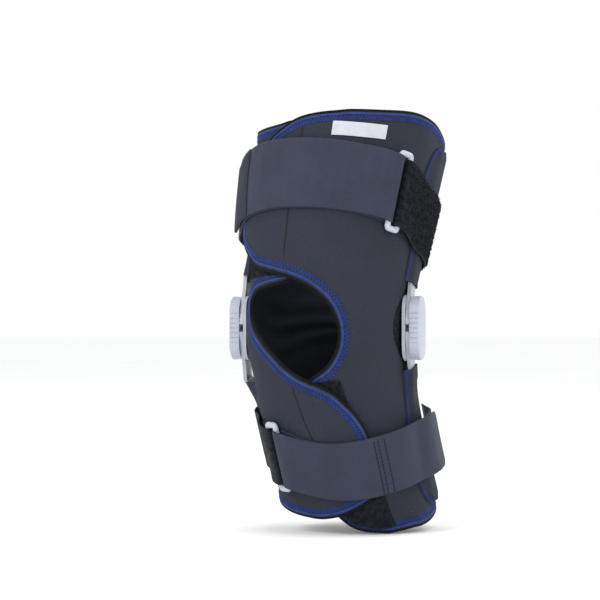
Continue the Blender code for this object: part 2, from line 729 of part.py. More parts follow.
def make_pocket(segment, side):
    """A strip sewn over an arm: flat at its edges, and domed over the arm."""
    low, high = POCKETS[segment, side][:2]
    knee_end, far_end = (low, high) if segment == "thigh" else (high, low)
    rows = np.concatenate([np.arange(9) * 0.1, 1 - np.array([0.13, 0.08, 0.04, 0.012, 0])])
    height = (knee_end + (far_end - knee_end) * rows)[:, None] * np.ones((1, 9))
    radius = leg_radius(np.radians(np.full_like(height, ARM_ANGLE)), height) + WRAP
    share = np.array([-1, -0.80, -0.60, -0.42, 0, 0.42, 0.60, 0.80, 1])
    angle = ARM_ANGLE + np.degrees(share * pocket_edge(segment, side, height) / radius)
    angle = angle * SIDES[side]
    rise = pocket_rise(segment, side, angle, height)[0]
    bottom = WRAP + SOFT_FIT + rise
    closed_sheet(f"{segment}_pocket_{side}", angle, height, bottom, bottom + POCKET, ("neoprene", NEOPRENE))


def strap_bed(angle_deg, height):
    """The lift of what lies under a strap: the sleeve, its laps and the pockets."""
    bed = WRAP + outermost_lift(angle_deg, height)
    segment = "thigh" if height.flat[0] > 0 else "calf"
    for side, sign in SIDES.items():
        near = smoothstep((sign * angle_deg - ARM_ANGLE + 30) / 6) * smoothstep((ARM_ANGLE + 30 - sign * angle_deg) / 6)
        rise, ends = pocket_rise(segment, side, angle_deg, height, 0.007)
        bed = bed + near * ends * (rise + POCKET + SOFT_FIT)
    return bed


# Straps and rings


def strap_middle(strap, angle_deg):
    return through(strap["middle"], 1, angle_deg)


def band(name, strap, path, look):
    """A strap along a path of angles and lifts above its bed: its thickness is laid across the
    path, also where it folds round a ring bar."""
    angle, lift, on_bed = np.array(path).T
    middle = strap_middle(strap, angle)
    across = np.linspace(-0.5, 0.5, 3)
    height = middle[:, None] + across * strap["width"]
    angle_grid = np.broadcast_to(angle[:, None], height.shape)
    bed = strap_bed(angle_grid, height)
    radius = leg_radius(np.radians(angle_grid), height) + lift[:, None]
    flat_bed = bed * on_bed[:, None] + strap_bed_at_ring(strap) * (1 - on_bed[:, None])
    rise = lift[:, None] + flat_bed
    run = np.radians(angle_grid) * radius
    ahead = np.stack([np.gradient(run, axis=0), np.gradient(rise, axis=0)], -1)
    ahead /= np.linalg.norm(ahead, axis=-1, keepdims=True)
    side = np.stack([-ahead[..., 1], ahead[..., 0]], -1) * STRAP / 2
    inner = on_leg(angle_grid - np.degrees(side[..., 0] / radius), height, rise - side[..., 1])
    outer = on_leg(angle_grid + np.degrees(side[..., 0] / radius), height, rise + side[..., 1])
    return closed_grid(name, inner, outer, look)


def strap_bed_at_ring(strap):
    """The bed's lift under the ring."""
    height = np.array([strap_middle(strap, strap["ring"])])
    return float(strap_bed(np.array([float(strap["ring"])]), height)[0])


def fold_path(bar_angle, bar_lift, towards, turn_radius, radius):
    """Half a turn round a ring bar, from under it to over it, bulging towards one side."""
    turns = np.linspace(-pi / 2, pi / 2, 7)
    step = degrees(turn_radius / radius)
    return [(bar_angle + towards * step * cos(a), bar_lift + turn_radius * sin(a), 0.0) for a in turns]


def make_strap(segment):
    """The strap, its hook end, its ring, and the tab that holds the ring."""
    strap = STRAPS[segment]
    ring = strap["ring"]
    turn = strap["turn"]
    outwards = -turn
    middle = strap_middle(strap, ring)
    radius = float(leg_radius(np.radians(float(ring)), middle)) + WRAP + 0.006
    half_pitch = degrees(RING_PITCH / 2 / radius)
    under = SOFT_FIT + STRAP / 2
    turn_radius = RING_BAR + SOFT_FIT + STRAP / 2
    bar_lift = under + turn_radius
    over = bar_lift + turn_radius
    near_bar = ring - outwards * half_pitch
    far_bar = ring + outwards * half_pitch
    closed_over = under + STRAP + PATCH + 2 * SOFT_FIT
    cloth = ("strap_cloth", STRAP_CLOTH)

    fold = fold_path(near_bar, bar_lift, outwards, turn_radius, radius)
    first = near_bar - outwards * 1.5
    coming = np.linspace(strap["sewn_end"], first, 21)
    going = np.linspace(first, strap["free_end"], 25)
    leaving = smoothstep(1 - np.abs(going - first) / 26)
    path = [(a, under, 1.0) for a in coming] + fold
    path += [(a, closed_over + (over - closed_over) * s, 1.0) for a, s in zip(going, leaving)]
    band(f"{segment}_strap", strap, path, cloth)

    from_end = np.abs(going - strap["free_end"])
    angle = going[(from_end > 3) & (from_end < 36)][::-1][None, :]
    height = strap_middle(strap, angle) + np.linspace(-0.5, 0.5, 3)[:, None] * (strap["width"] - 0.003)
    angle = np.broadcast_to(angle, height.shape)
    low = strap_bed(angle, height) + STRAP + 2 * SOFT_FIT
    closed_sheet(f"{segment}_strap_hook", angle, height, low, low + PATCH - FIT, ("hook_tape", HOOK_TAPE))

    fold = fold_path(far_bar, bar_lift, -outwards, turn_radius, radius)
    second = far_bar + outwards * 1.5
    inside = np.linspace(second + outwards * 11, second, 4)
    outside = np.linspace(second, strap["tab_end"], 13)
    leaving = smoothstep(1 - np.abs(outside - second) / 22)
    tab_over = under + STRAP + SOFT_FIT
    path = [(a, under, 1.0) for a in inside] + fold
    path += [(a, tab_over + (over - tab_over) * s, 1.0) for a, s in zip(outside, leaving)]
    band(f"{segment}_ring_tab", strap, path, ("loop_pile", LOOP_PILE))

    make_ring(segment, strap, bar_lift)


def make_ring(segment, strap, bar_lift):
    """A rectangular ring with two long bars, flat on the leg."""
    ring = float(strap["ring"])
    middle = float(strap_middle(strap, ring))
    lift = strap_bed_at_ring(strap) + bar_lift
    ends = on_leg(ring, middle + np.array([-0.5, 0.5]) * strap["width"], lift)
    centre = Vector(((ends[0] + ends[1]) / 2).tolist())
    beside = on_leg(ring + np.array([-1, 1]), middle, lift)
    up = Vector((ends[1] - ends[0]).tolist()).normalized()
    out = Vector((beside[1] - beside[0]).tolist()).cross(up).normalized()
    across = up.cross(out).normalized()
    half_length = strap["width"] / 2 + FIT + RING_BAR + 0.0012
    half_width = RING_PITCH / 2
    corner = 0.0022
    loop = []
    for sx, sy, start in ((1, 1, 0), (-1, 1, 90), (-1, -1, 180), (1, -1, 270)):
        for turn in (0, 30, 60, 90):
            a = radians(start + turn)
            loop.append((sx * (half_width - corner) + corner * cos(a), sy * (half_length - corner) + corner * sin(a)))
    points = [centre + across * x + up * y for x, y in loop]
    tube(f"{segment}_ring", points, RING_BAR, ("grey_plastic", GREY_PLASTIC), closed=True, roundness=1)


def main():
    clear_scene()
    make_sleeve()
    make_pads()
    make_fastening_patches()
    make_label()
    for segment in SEGMENTS:
        make_binding(segment)
        make_strap(segment)
        for side in SIDES:
            make_arm(side, segment)
            make_pocket(segment, side)
    for side in SIDES:
        make_plates(side)
        make_rivets(side)
        make_cover(side)


main()
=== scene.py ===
"""Wraparound knee brace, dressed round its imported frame.

Metres, +Z up, -Y the front of the knee, +X the wearer's left side. The frame holds the hinges, the
rings and plain solids for the cloth. This script makes the sleeve, its binding and stitching, the
pockets, the straps, the pile, the hinge covers and every finish. Each soft piece lies on one leg
surface: a point of it has an angle round the leg, a height along it and a lift off it.
"""

import json
from math import cos, degrees, pi, radians, sin, tan

import bmesh
import bpy
import numpy as np
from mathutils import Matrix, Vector


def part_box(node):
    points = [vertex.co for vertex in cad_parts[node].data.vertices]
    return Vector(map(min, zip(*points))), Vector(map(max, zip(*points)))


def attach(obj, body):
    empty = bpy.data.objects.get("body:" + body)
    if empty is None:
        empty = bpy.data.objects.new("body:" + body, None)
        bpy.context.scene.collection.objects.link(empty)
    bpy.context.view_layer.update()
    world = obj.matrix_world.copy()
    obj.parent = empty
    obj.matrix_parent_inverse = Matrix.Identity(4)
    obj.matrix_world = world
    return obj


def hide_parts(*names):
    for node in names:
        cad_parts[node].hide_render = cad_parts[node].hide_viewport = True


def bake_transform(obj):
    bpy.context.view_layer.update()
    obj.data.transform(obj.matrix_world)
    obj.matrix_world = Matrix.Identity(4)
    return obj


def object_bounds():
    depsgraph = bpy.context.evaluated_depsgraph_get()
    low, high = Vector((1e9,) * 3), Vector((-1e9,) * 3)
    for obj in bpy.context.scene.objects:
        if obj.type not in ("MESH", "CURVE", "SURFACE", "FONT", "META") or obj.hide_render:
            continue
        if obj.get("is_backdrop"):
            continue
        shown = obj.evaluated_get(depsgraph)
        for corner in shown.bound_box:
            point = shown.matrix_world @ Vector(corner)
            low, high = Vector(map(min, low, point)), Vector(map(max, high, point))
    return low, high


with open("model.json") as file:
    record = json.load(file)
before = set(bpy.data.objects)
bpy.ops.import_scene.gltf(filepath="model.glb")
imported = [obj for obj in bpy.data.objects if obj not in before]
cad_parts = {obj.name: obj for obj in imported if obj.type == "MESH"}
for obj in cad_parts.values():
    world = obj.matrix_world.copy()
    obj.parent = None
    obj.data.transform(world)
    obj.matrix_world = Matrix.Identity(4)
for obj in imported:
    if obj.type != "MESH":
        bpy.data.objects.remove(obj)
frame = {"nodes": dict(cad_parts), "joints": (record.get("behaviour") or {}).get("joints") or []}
CAD_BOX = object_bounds()

bl_info = {
    "name": "Knee brace",
    "version": (1, 0, 0),
    "blender": (4, 5, 0),
    "location": "View3D > Sidebar > Brace",
    "description": "Makes a wraparound knee brace with geared side hinges round its frame",
    "category": "Object",
}

# Leg surface
SEGMENT_TILT = radians(15)
THIGH_LEAN = radians(5.2)
CALF_LEAN = radians(8.8)
KNEE_ROUNDING = 0.030
LEG_STATIONS = (
    (-0.160, 0.0560, 0.0570),
    (-0.100, 0.0545, 0.0590),
    (-0.050, 0.0555, 0.0600),
    (0.000, 0.0580, 0.0620),
    (0.030, 0.0588, 0.0620),
    (0.055, 0.0608, 0.0640),
    (0.085, 0.0635, 0.0690),
    (0.120, 0.0665, 0.0730),
    (0.160, 0.0700, 0.0760),
)
LEG_SQUARENESS = 2.3

# Layers of cloth, and the room between them
WRAP = 0.0030
PATCH = 0.0008
STRAP = 0.0014
POCKET = 0.0013
HOOK = 0.0006
LABEL = 0.0005
FIT = 0.0003
SOFT_FIT = 0.0006
TOUCH = 0.00015
LAP_LIFT = WRAP + 2 * PATCH + 3 * SOFT_FIT + FIT
LAP_RAMP = (-3, 30)

# Sleeve edges: height along the leg, angle from the front in degrees
FLAP_TOP = 0.1515
RIGHT_EDGE = (
    (-0.161, 46), (-0.1545, 34), (-0.150, 20), (-0.136, 2), (-0.118, -5), (-0.060, -6),
    (-0.038, -6), (-0.031, -3), (-0.0245, 10), (-0.0145, 19.5), (-0.004, 22.5), (0.007, 19.5),
    (0.0186, 8), (0.026, -7), (0.033, -33), (0.042, -46), (0.059, -61), (0.076, -55),
    (0.110, -38), (0.121, -35), (0.135, -23), (0.144, -11), (FLAP_TOP, 12),
)
LEFT_EDGE = (
    (-0.134, 15), (-0.124, 27), (-0.113, 32), (-0.097, 33), (-0.081, 32), (-0.0505, 21.5),
    (-0.0360, 10), (-0.0255, -8), (-0.0075, -36), (0.000, -48), (0.008, -53), (0.017, -50),
    (0.0215, -40), (0.025, -18), (0.030, -6), (0.040, -4), (0.125, -4), (0.140, -14),
    (0.147, -34),
)
# Angle round the leg from the left edge, past the back at -180, to the right edge: top, bottom
HEM_STATIONS = (
    (-350, FLAP_TOP, -0.1545),
    (-330, 0.1570, -0.1560),
    (-306, 0.1640, -0.1580),
    (-290, 0.1655, -0.1600),
    (-270, 0.1640, -0.1610),
    (-180, 0.1580, -0.1460),
    (-90, 0.1490, -0.1290),
    (-62, 0.1440, -0.1260),
    (-48, 0.1415, -0.1290),
    (-34, 0.1405, -0.1320),
    (-20, 0.1410, -0.1325),
    (-12, 0.1420, -0.1300),
    (-4, 0.1430, -0.1210),
)
SIDE_ANGLE = 62

# Hinge, as the frame has it
PIVOT_RISE = frame["joints"][0]["pos_m"][2]
COVER_LOW, COVER_HIGH = (np.array(corner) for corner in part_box("hinge_cover_right"))
PLATE_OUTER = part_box("inner_plate_right")[1][0]
ARM = 0.0028
ARM_ANGLE = 93
WINDOW_HALF_HEIGHT = 0.046
WINDOW_HALF_ANGLE = 24
WINDOW_RECESS = 0.0014

# Hinge pockets: lower end, upper end, half width at the knee end, half width at the far end
POCKETS = {
    ("thigh", "left"): (0.037, 0.141, 0.020, 0.022),
    ("thigh", "right"): (0.040, 0.152, 0.0165, 0.0255),
    ("calf", "left"): (-0.118, -0.035, 0.0195, 0.021),
    ("calf", "right"): (-0.151, -0.040, 0.0135, 0.0240),
}

# Straps: width, ring angle, free end, sewn end, tab end, slack at the free end, and the height of
# the middle by angle
RING_BAR = 0.0021
RING_PITCH = 0.0098
STRAPS = {
    "thigh": dict(
        width=0.0520, ring=49, turn=-1, free_end=-77, sewn_end=-124, tab_end=118, slack=0.0012,
        middle=((-124, 0.090), (-80, 0.0905), (-50, 0.0965), (0, 0.1010), (45, 0.1010), (85, 0.088),
                (120, 0.084)),
    ),
    "calf": dict(
        width=0.0450, ring=-36, turn=1, free_end=99, sewn_end=124, tab_end=-118, slack=0.0010,
        middle=((-120, -0.078), (-60, -0.080), (-36, -0.084), (10, -0.0975), (50, -0.1005), (124, -0.1030)),
    ),
}

# Label
LABEL_ANGLES = (5, 35)
LABEL_HEIGHT = 0.0110
LABEL_MIDDLE = (0.1365, 0.1420)

# Stitching: distances in from an edge
RIM_OUT = 0.0016
RIM_IN = 0.0010
LINE_INSET = 0.0021
LINE_HALF = 0.00095
ZIGZAG = (0.0036, 0.0070)

SIDES = {"left": -1, "right": 1}
SEGMENTS = {"thigh": 1, "calf": -1}


class BraceSizes(bpy.types.PropertyGroup):
    stitch_pitch: bpy.props.FloatProperty(
        name="Stitch pitch", description="Length of one zigzag of the edge stitching",
        default=0.0027, min=0.001, unit="LENGTH", precision=4)
    thread_radius: bpy.props.FloatProperty(
        name="Thread radius", description="Radius of the sewing thread",
        default=0.00030, min=0.0001, unit="LENGTH", precision=5)
    pile_spacing: bpy.props.FloatProperty(
        name="Pile spacing", description="Distance between neighbouring loops of the pile",
        default=0.0012, min=0.0006, unit="LENGTH", precision=4)
    pile_height: bpy.props.FloatProperty(
        name="Pile height", description="Height of a loop of the pile on the ring tabs",
        default=0.0013, min=0.0004, unit="LENGTH", precision=4)
    swell: bpy.props.FloatProperty(
        name="Swell", description="Height of the slow waves in the sleeve",
        default=0.00035, min=0.0, unit="LENGTH", precision=5)
    crease: bpy.props.FloatProperty(
        name="Crease", description="Height of the creases behind the knee",
        default=0.0010, min=0.0, unit="LENGTH", precision=4)
    ridges: bpy.props.IntProperty(
        name="Grip grooves", description="Grooves along each long edge of a hinge cover",
        default=7, min=0, max=12)


def colour(name, description, value):
    """A colour setting with its default."""
    return bpy.props.FloatVectorProperty(
        name=name, description=description, default=value, size=3, subtype="COLOR", min=0.0, max=1.0)


class BraceColours(bpy.types.PropertyGroup):
    neoprene: colour("Neoprene", "Knit face of the sleeve", (0.0290, 0.0330, 0.0460))
    strap: colour("Straps", "Smooth face of the straps", (0.028, 0.033, 0.056))
    pile: colour("Pile", "Loop pile of the tabs and patches", (0.0090, 0.0110, 0.0155))
    hook: colour("Hook", "Hook tape", (0.010, 0.011, 0.014))
    rim: colour("Binding", "Tape round the sleeve's edge", (0.0045, 0.0048, 0.0060))
    thread: colour("Thread", "Blue stitching", (0.013, 0.031, 0.155))
    # Painted shade: the blue thread drawn darker where it lies flat under the zigzag.
    thread_base: colour("Thread base", "Blue thread that lies under the stitching", (0.005, 0.011, 0.058))
    # Also the colour of the flat strips of painted shade along the plain seams' creases.
    seam_thread_and_crease_shade: colour("Dark thread", "Thread of the plain seams", (0.0045, 0.0050, 0.0070))
    plastic: colour("Plastic", "Moulded grey of the covers and rings", (0.450, 0.485, 0.550))
    metal: colour("Metal", "Coated sheet metal of the arms", (0.400, 0.430, 0.490))
    rivet: colour("Rivets", "Steel of the rivets", (0.600, 0.600, 0.610))
    label: colour("Label", "Woven label", (0.560, 0.580, 0.630))
    floor: colour("Floor", "Floor", (0.965, 0.970, 0.975))


# Curves and the leg surface


def smoothstep(x):
    x = np.clip(x, 0, 1)
    return x * x * (3 - 2 * x)


def through(stations, column, x):
    """A smooth curve through one column of the stations, read at x: a cubic on each span."""
    at = np.array([row[0] for row in stations], float)
    value = np.array([row[column] for row in stations], float)
    slope = np.gradient(value, at)
    x = np.clip(x, at[0], at[-1])
    span = np.clip(np.searchsorted(at, x) - 1, 0, len(at) - 2)
    length = at[span + 1] - at[span]
    u = (x - at[span]) / length
    return (
        (2 * u**3 - 3 * u**2 + 1) * value[span]
        + (u**3 - 2 * u**2 + u) * length * slope[span]
        + (3 * u**2 - 2 * u**3) * value[span + 1]
        + (u**3 - u**2) * length * slope[span + 1]
    )


def leg_centre(height):
    """The middle of the leg: two leaning lines joined by a round bend, a hyperbola, at the knee."""
    along = np.sqrt(height**2 + KNEE_ROUNDING**2) - KNEE_ROUNDING
    lean = np.where(height > 0, tan(THIGH_LEAN), tan(CALF_LEAN))
    return np.stack([lean * along, sin(SEGMENT_TILT) * along, cos(SEGMENT_TILT) * height], -1)


def leg_radius(angle, height):
    """The leg's radius at an angle in radians: a superellipse, whose half width and half depth
    change with the height."""
    wide = through(LEG_STATIONS, 1, height)
    deep = through(LEG_STATIONS, 2, height)
    across = (np.abs(np.sin(angle)) / wide) ** LEG_SQUARENESS
    fore = (np.abs(np.cos(angle)) / deep) ** LEG_SQUARENESS
    return (across + fore) ** (-1 / LEG_SQUARENESS)


def on_leg(angle_deg, height, lift=0.0):
    """Points on the leg: its middle at the height, plus the radius and the lift in the direction
    of the angle, in a section square to the middle line."""
    angle, height, lift = np.broadcast_arrays(
        np.radians(np.asarray(angle_deg, float)), np.asarray(height, float), np.asarray(lift, float)
    )
    step = 1e-4
    along = leg_centre(height + step) - leg_centre(height - step)
    along /= np.linalg.norm(along, axis=-1, keepdims=True)
    across = np.array([1.0, 0, 0]) - along * along[..., :1]
    across /= np.linalg.norm(across, axis=-1, keepdims=True)
    back = np.cross(along, across)
    out = np.sin(angle)[..., None] * across - np.cos(angle)[..., None] * back
    return leg_centre(height) + (leg_radius(angle, height) + lift)[..., None] * out


def outwards_at(angle_deg, height):
    """The direction away from the leg's middle."""
    step = on_leg(angle_deg, height, 0.001) - on_leg(angle_deg, height, 0.0)
    return step / np.linalg.norm(step, axis=-1, keepdims=True)


def lap_lift(angle_deg, height, panel):
    """How far a front panel is lifted to pass over the other: the right one above the knee
    opening, and the left one below it. A product of two smooth steps."""
    low, high = LAP_RAMP
    if panel == "right":
        start, end = RIGHT_EDGE[7][0] * 0.69, RIGHT_EDGE[12][0]
        across = (high - angle_deg) / (high - low)
    else:
        start, end = LEFT_EDGE[10][0] * 1.5, LEFT_EDGE[7][0]
        across = (angle_deg + high) / (high - low)
    return LAP_LIFT * smoothstep(across) * smoothstep((height - start) / (end - start))


def outermost_lift(angle_deg, height):
    """The lift of whichever front panel is outside."""
    return np.maximum(lap_lift(angle_deg, height, "right"), lap_lift(angle_deg, height, "left"))


def turned_back(angle_deg):
    """An angle brought into -180 to 180 degrees."""
    return (np.asarray(angle_deg, float) + 180) % 360 - 180


def drape(angle_deg, height):
    """Waves of the foam: creases across the back of the knee, which are cosines in a bell curve,
    and slow swells elsewhere, which are sines of the angle and the height and fade out under
    the arms."""
    sizes = bpy.context.scene.brace_sizes
    turn = np.radians(angle_deg)
    behind = smoothstep((-np.cos(turn) - 0.10) / 0.6)
    rows = np.cos(2 * pi * (height + 0.005 * np.sin(2 * turn) + 0.003 * np.sin(5 * turn)) / 0.021)
    crease = sizes.crease * rows * np.exp(-((height / 0.032) ** 2))
    swell = np.sin(3 * turn + height * 62 + 0.6) + np.sin(5 * turn - height * 88 + 1.3)
    swell = swell + 0.6 * np.sin(9 * turn + height * 150)
    arm = np.exp(-((np.abs(np.abs(turned_back(angle_deg)) - ARM_ANGLE) / 20) ** 4))
    return behind * crease + sizes.swell * swell * (1 - arm)


def window_depth(angle_deg, height):
    """How far in a point is from the rim of the lens-shaped window behind a hinge, in metres. Both
    the lens's middle and its half width are parabolas of the height."""
    share = (height / WINDOW_HALF_HEIGHT) ** 2
    middle = 92 + 13 * share
    half = WINDOW_HALF_ANGLE * (1 - share)
    inside = half - np.abs(np.abs(turned_back(angle_deg)) - middle)
    return np.radians(inside) * leg_radius(np.radians(angle_deg), height)


def sheet_lift(angle_deg, height):
    """Lift of the sleeve sheet's inner face. Its angle runs on from the left edge, round the back,
    to the right edge, so that only its two ends leave the leg."""
    left = np.where(angle_deg > -SIDE_ANGLE, lap_lift(angle_deg, height, "left"), 0)
    right = np.where(angle_deg < SIDE_ANGLE - 360, lap_lift(angle_deg + 360, height, "right"), 0)
    return left + right + drape(angle_deg, height)


def sheet_face(angle_deg, height):
    """Lift of the sheet's outer face: a wall's thickness out, less the recess behind a hinge."""
    depth = window_depth(angle_deg, height)
    lip = 0.00025 * np.exp(-(((depth + 0.0012) / 0.0009) ** 2))
    return sheet_lift(angle_deg, height) + WRAP - WINDOW_RECESS * smoothstep(depth / 0.0018) + lip


# Mesh making


def new_mesh_object(name, points, faces, uv=None):
    """An object at the origin from points, faces and one texture point for each point."""
    mesh = bpy.data.meshes.new(name)
    mesh.from_pydata(np.asarray(points).reshape(-1, 3).tolist(), [], faces)
    if uv is not None:
        layer = mesh.uv_layers.new(name="UVMap")
        corner = np.empty(len(mesh.loops), np.int32)
        mesh.loops.foreach_get("vertex_index", corner)
        layer.data.foreach_set("uv", np.asarray(uv, np.float32).reshape(-1, 2)[corner].ravel())
    mesh.update()
    item = bpy.data.objects.new(name, mesh)
    bpy.context.scene.collection.objects.link(item)
    return item


def face_outwards(item, sharp=42):
    """Turns the faces of a closed mesh outwards, and shades it smooth up to an angle."""
    work = bmesh.new()
    work.from_mesh(item.data)
    bmesh.ops.recalc_face_normals(work, faces=work.faces)
    work.to_mesh(item.data)
    work.free()
    item.data.shade_smooth()
    item.data.set_sharp_from_angle(angle=radians(sharp))
    return item


def quads_of(index):
    """The four-sided faces between neighbouring points of a grid of indices."""
    return np.stack([index[:-1, :-1], index[:-1, 1:], index[1:, 1:], index[1:, :-1]], -1).reshape(-1, 4)


def lengths_of(points):
    """Texture points for a grid: the mean running length along each of its two directions."""
    along = np.linalg.norm(np.diff(points, axis=0), axis=-1).mean(axis=1)
    across = np.linalg.norm(np.diff(points, axis=1), axis=-1).mean(axis=0)
    v = np.concatenate([[0], np.cumsum(along)])
    u = np.concatenate([[0], np.cumsum(across)])
    return np.stack(np.broadcast_arrays(u[None, :], v[:, None]), -1)


def slab(name, inner, outer):
    """A closed sheet: two grids of points of one size, and a wall round their rim."""
    rows, columns = inner.shape[:2]
    index = np.arange(rows * columns).reshape(rows, columns)
    far = rows * columns
    rim = np.concatenate([index[0], index[1:, -1], index[-1, -2::-1], index[-2:0:-1, 0]])
    after = np.roll(rim, -1)
    skin = quads_of(index)
    walls = np.stack([rim, rim + far, after + far, after], -1)
    faces = np.concatenate([skin, skin[:, ::-1] + far, walls])
    uv = lengths_of(outer).reshape(-1, 2)
    item = new_mesh_object(name, np.concatenate([inner.reshape(-1, 3), outer.reshape(-1, 3)]),
                           faces.tolist(), np.concatenate([uv, uv]))
    return face_outwards(item)


def tube(name, rings, closed=False):
    """A closed bar from a grid whose rows are its sections. Its ends are capped, or joined."""
    rows, sides = rings.shape[:2]
    index = np.arange(rows * sides).reshape(rows, sides)
    index = np.concatenate([index, index[:, :1]], axis=1)
    if closed:
        index = np.concatenate([index, index[:1]], axis=0)
    faces = quads_of(index).tolist()
    if not closed:
        faces += [index[0, :-1][::-1].tolist(), index[-1, :-1].tolist()]
    item = new_mesh_object(name, rings, faces, lengths_of(rings))
    return face_outwards(item)


def sections(points, out, wide, thick, sides=8, closed=False):
    """Elliptical sections carried along points. The long axis is square to the path and to the
    direction out, and the short axis is along out."""
    ahead = np.roll(points, -1, 0) - np.roll(points, 1, 0) if closed else np.gradient(points, axis=0)
    ahead /= np.linalg.norm(ahead, axis=1, keepdims=True)
    side = np.cross(out, ahead)
    side /= np.linalg.norm(side, axis=1, keepdims=True)
    up = np.cross(ahead, side)
    turns = np.arange(sides) * 2 * pi / sides
    wide = np.broadcast_to(wide, len(points))[:, None, None]
    thick = np.broadcast_to(thick, len(points))[:, None, None]
    return (
        points[:, None]
        + side[:, None] * wide * np.cos(turns)[None, :, None]
        + up[:, None] * thick * np.sin(turns)[None, :, None]
    )


def copies(name, shape, faces, origins, axes, sizes):
    """Many copies of one small shape: each copy's points are its origin plus the shape's three
    coordinates, scaled, along its three axes."""
    scaled = shape[None] * sizes[:, None, :]
    points = origins[:, None] + np.einsum("nki,nij->nkj", scaled, axes)
    shift = np.arange(len(origins))[:, None, None] * len(shape)
    every = (faces[None] + shift).reshape(-1, faces.shape[1])
    item = new_mesh_object(name, points, every.tolist())
    item.data.shade_smooth()
    return item


def bar_shape(points, radius, sides):
    """A small bar along a few points of the XZ plane: its points, and its faces as triangles."""
    points = np.asarray(points, float)
    out = np.tile([0.0, 1.0, 0.0], (len(points), 1))
    rings = sections(points, out, radius, radius, sides)
    index = np.arange(len(points) * sides).reshape(len(points), sides)
    index = np.concatenate([index, index[:, :1]], axis=1)
    quads = quads_of(index)
    sides_split = np.concatenate([quads[:, [0, 1, 2]], quads[:, [0, 2, 3]]])
    fan = np.arange(1, sides - 1)
    start = np.stack([np.zeros_like(fan), fan + 1, fan], -1)
    last = (len(points) - 1) * sides
    end = np.stack([np.zeros_like(fan), fan, fan + 1], -1) + last
    return rings.reshape(-1, 3), np.concatenate([sides_split, start, end])


def pile(name, grid, spacing, height, seed, keep=None):
    """Loop pile on a grid of points: little arches stood on a jittered lattice, with their height
    and lean varied in patches a few millimetres wide. The lattice is read from the grid by
    straight interpolation in both directions."""
    rng = np.random.default_rng(seed)
    length = np.linalg.norm(np.diff(grid, axis=0), axis=-1).sum(axis=0).mean()
    width = np.linalg.norm(np.diff(grid, axis=1), axis=-1).sum(axis=1).mean()
    counts = max(int(length / spacing), 2), max(int(width / spacing), 2)
    places = np.meshgrid(np.arange(counts[0]), np.arange(counts[1]), indexing="ij")
    cells = np.stack(places, -1).reshape(-1, 2)
    spot = (cells + 0.5 + rng.uniform(-0.42, 0.42, cells.shape)) / counts
    reach = spot * (np.array(grid.shape[:2]) - 1)
    low = np.minimum(reach.astype(int), np.array(grid.shape[:2]) - 2)
    part = (reach - low)[:, :, None]
    row, column = low.T
    near = grid[row, column] * (1 - part[:, 1]) + grid[row, column + 1] * part[:, 1]
    far = grid[row + 1, column] * (1 - part[:, 1]) + grid[row + 1, column + 1] * part[:, 1]
    foot = near * (1 - part[:, 0]) + far * part[:, 0]
    along = grid[row + 1, column] - grid[row, column]
    across = grid[row, column + 1] - grid[row, column]
    out = np.cross(across, along)
    out /= np.linalg.norm(out, axis=1, keepdims=True)
    middle = np.array([0.0, 0.02, 0.0]) + foot * [0, 0, 1]
    out *= np.sign(((foot - middle) * out).sum(axis=1, keepdims=True))
    if keep is not None:
        kept = keep(spot)
        foot, along, out, spot = foot[kept], along[kept], out[kept], spot[kept]
    along /= np.linalg.norm(along, axis=1, keepdims=True)
    tuft = np.sin(foot[:, 0] * 1900 + foot[:, 2] * 900) + np.sin(foot[:, 2] * 1500 - foot[:, 1] * 1300 + 2)
    turn = rng.uniform(0, 2 * pi, len(foot))[:, None]
    flat = along * np.cos(turn) + np.cross(out, along) * np.sin(turn)
    lean = rng.normal(0, 0.30, (len(foot), 1))
    up = out + np.cross(out, flat) * lean
    up /= np.linalg.norm(up, axis=1, keepdims=True)
    third = np.cross(up, flat)
    arch = [(-0.5, 0, -0.25), (-0.55, 0, 0.55), (0, 0, 1.0), (0.55, 0, 0.55), (0.5, 0, -0.25)]
    shape, faces = bar_shape(arch, 0.17, 3)
    tall = height * (0.80 + 0.16 * tuft + rng.uniform(-0.18, 0.18, len(foot)))
    wide = spacing * rng.uniform(0.65, 1.05, len(foot))
    sizes = np.stack([wide, wide, tall], -1)
    return copies(name, shape, faces, foot, np.stack([flat, third, up], 1), sizes)


def dashes(name, points, out, length, gap, radius):
    """A running stitch: short bars at even steps along a path, each a little sunk at its ends."""
    run = np.concatenate([[0], np.cumsum(np.linalg.norm(np.diff(points, axis=0), axis=1))])
    at = np.arange(length / 2, run[-1] - length / 2, length + gap)
    foot = np.stack([np.interp(at, run, points[:, i]) for i in range(3)], -1)
    normal = np.stack([np.interp(at, run, out[:, i]) for i in range(3)], -1)
    normal /= np.linalg.norm(normal, axis=1, keepdims=True)
    ahead = np.stack([np.interp(at + gap, run, points[:, i]) for i in range(3)], -1) - foot
    ahead -= normal * (ahead * normal).sum(axis=1, keepdims=True)
    ahead /= np.linalg.norm(ahead, axis=1, keepdims=True)
    stitch = [(-0.5, 0, -1.6), (-0.42, 0, -0.1), (0, 0, 0.4), (0.42, 0, -0.1), (0.5, 0, -1.6)]
    bar = np.array(stitch) * [length, 1, radius]
    shape, faces = bar_shape(bar, radius, 6)
    axes = np.stack([ahead, np.cross(normal, ahead), normal], 1)
    return copies(name, shape, faces, foot, axes, np.ones((len(foot), 3)))


def dress(item, finish, bodies, stands_for=()):
    """Gives a finished piece its finish and its body, and hides the nodes it replaces. A piece of
    the sleeve gets no body: its transform is only applied."""
    item.data.materials.clear()
    item.data.materials.append(finish())
    if bodies in SEGMENTS:
        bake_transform(item)
    else:
        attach(item, bodies.removeprefix("only_"))
    if stands_for:
        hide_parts(*stands_for)
    return item


# Node groups and finishes


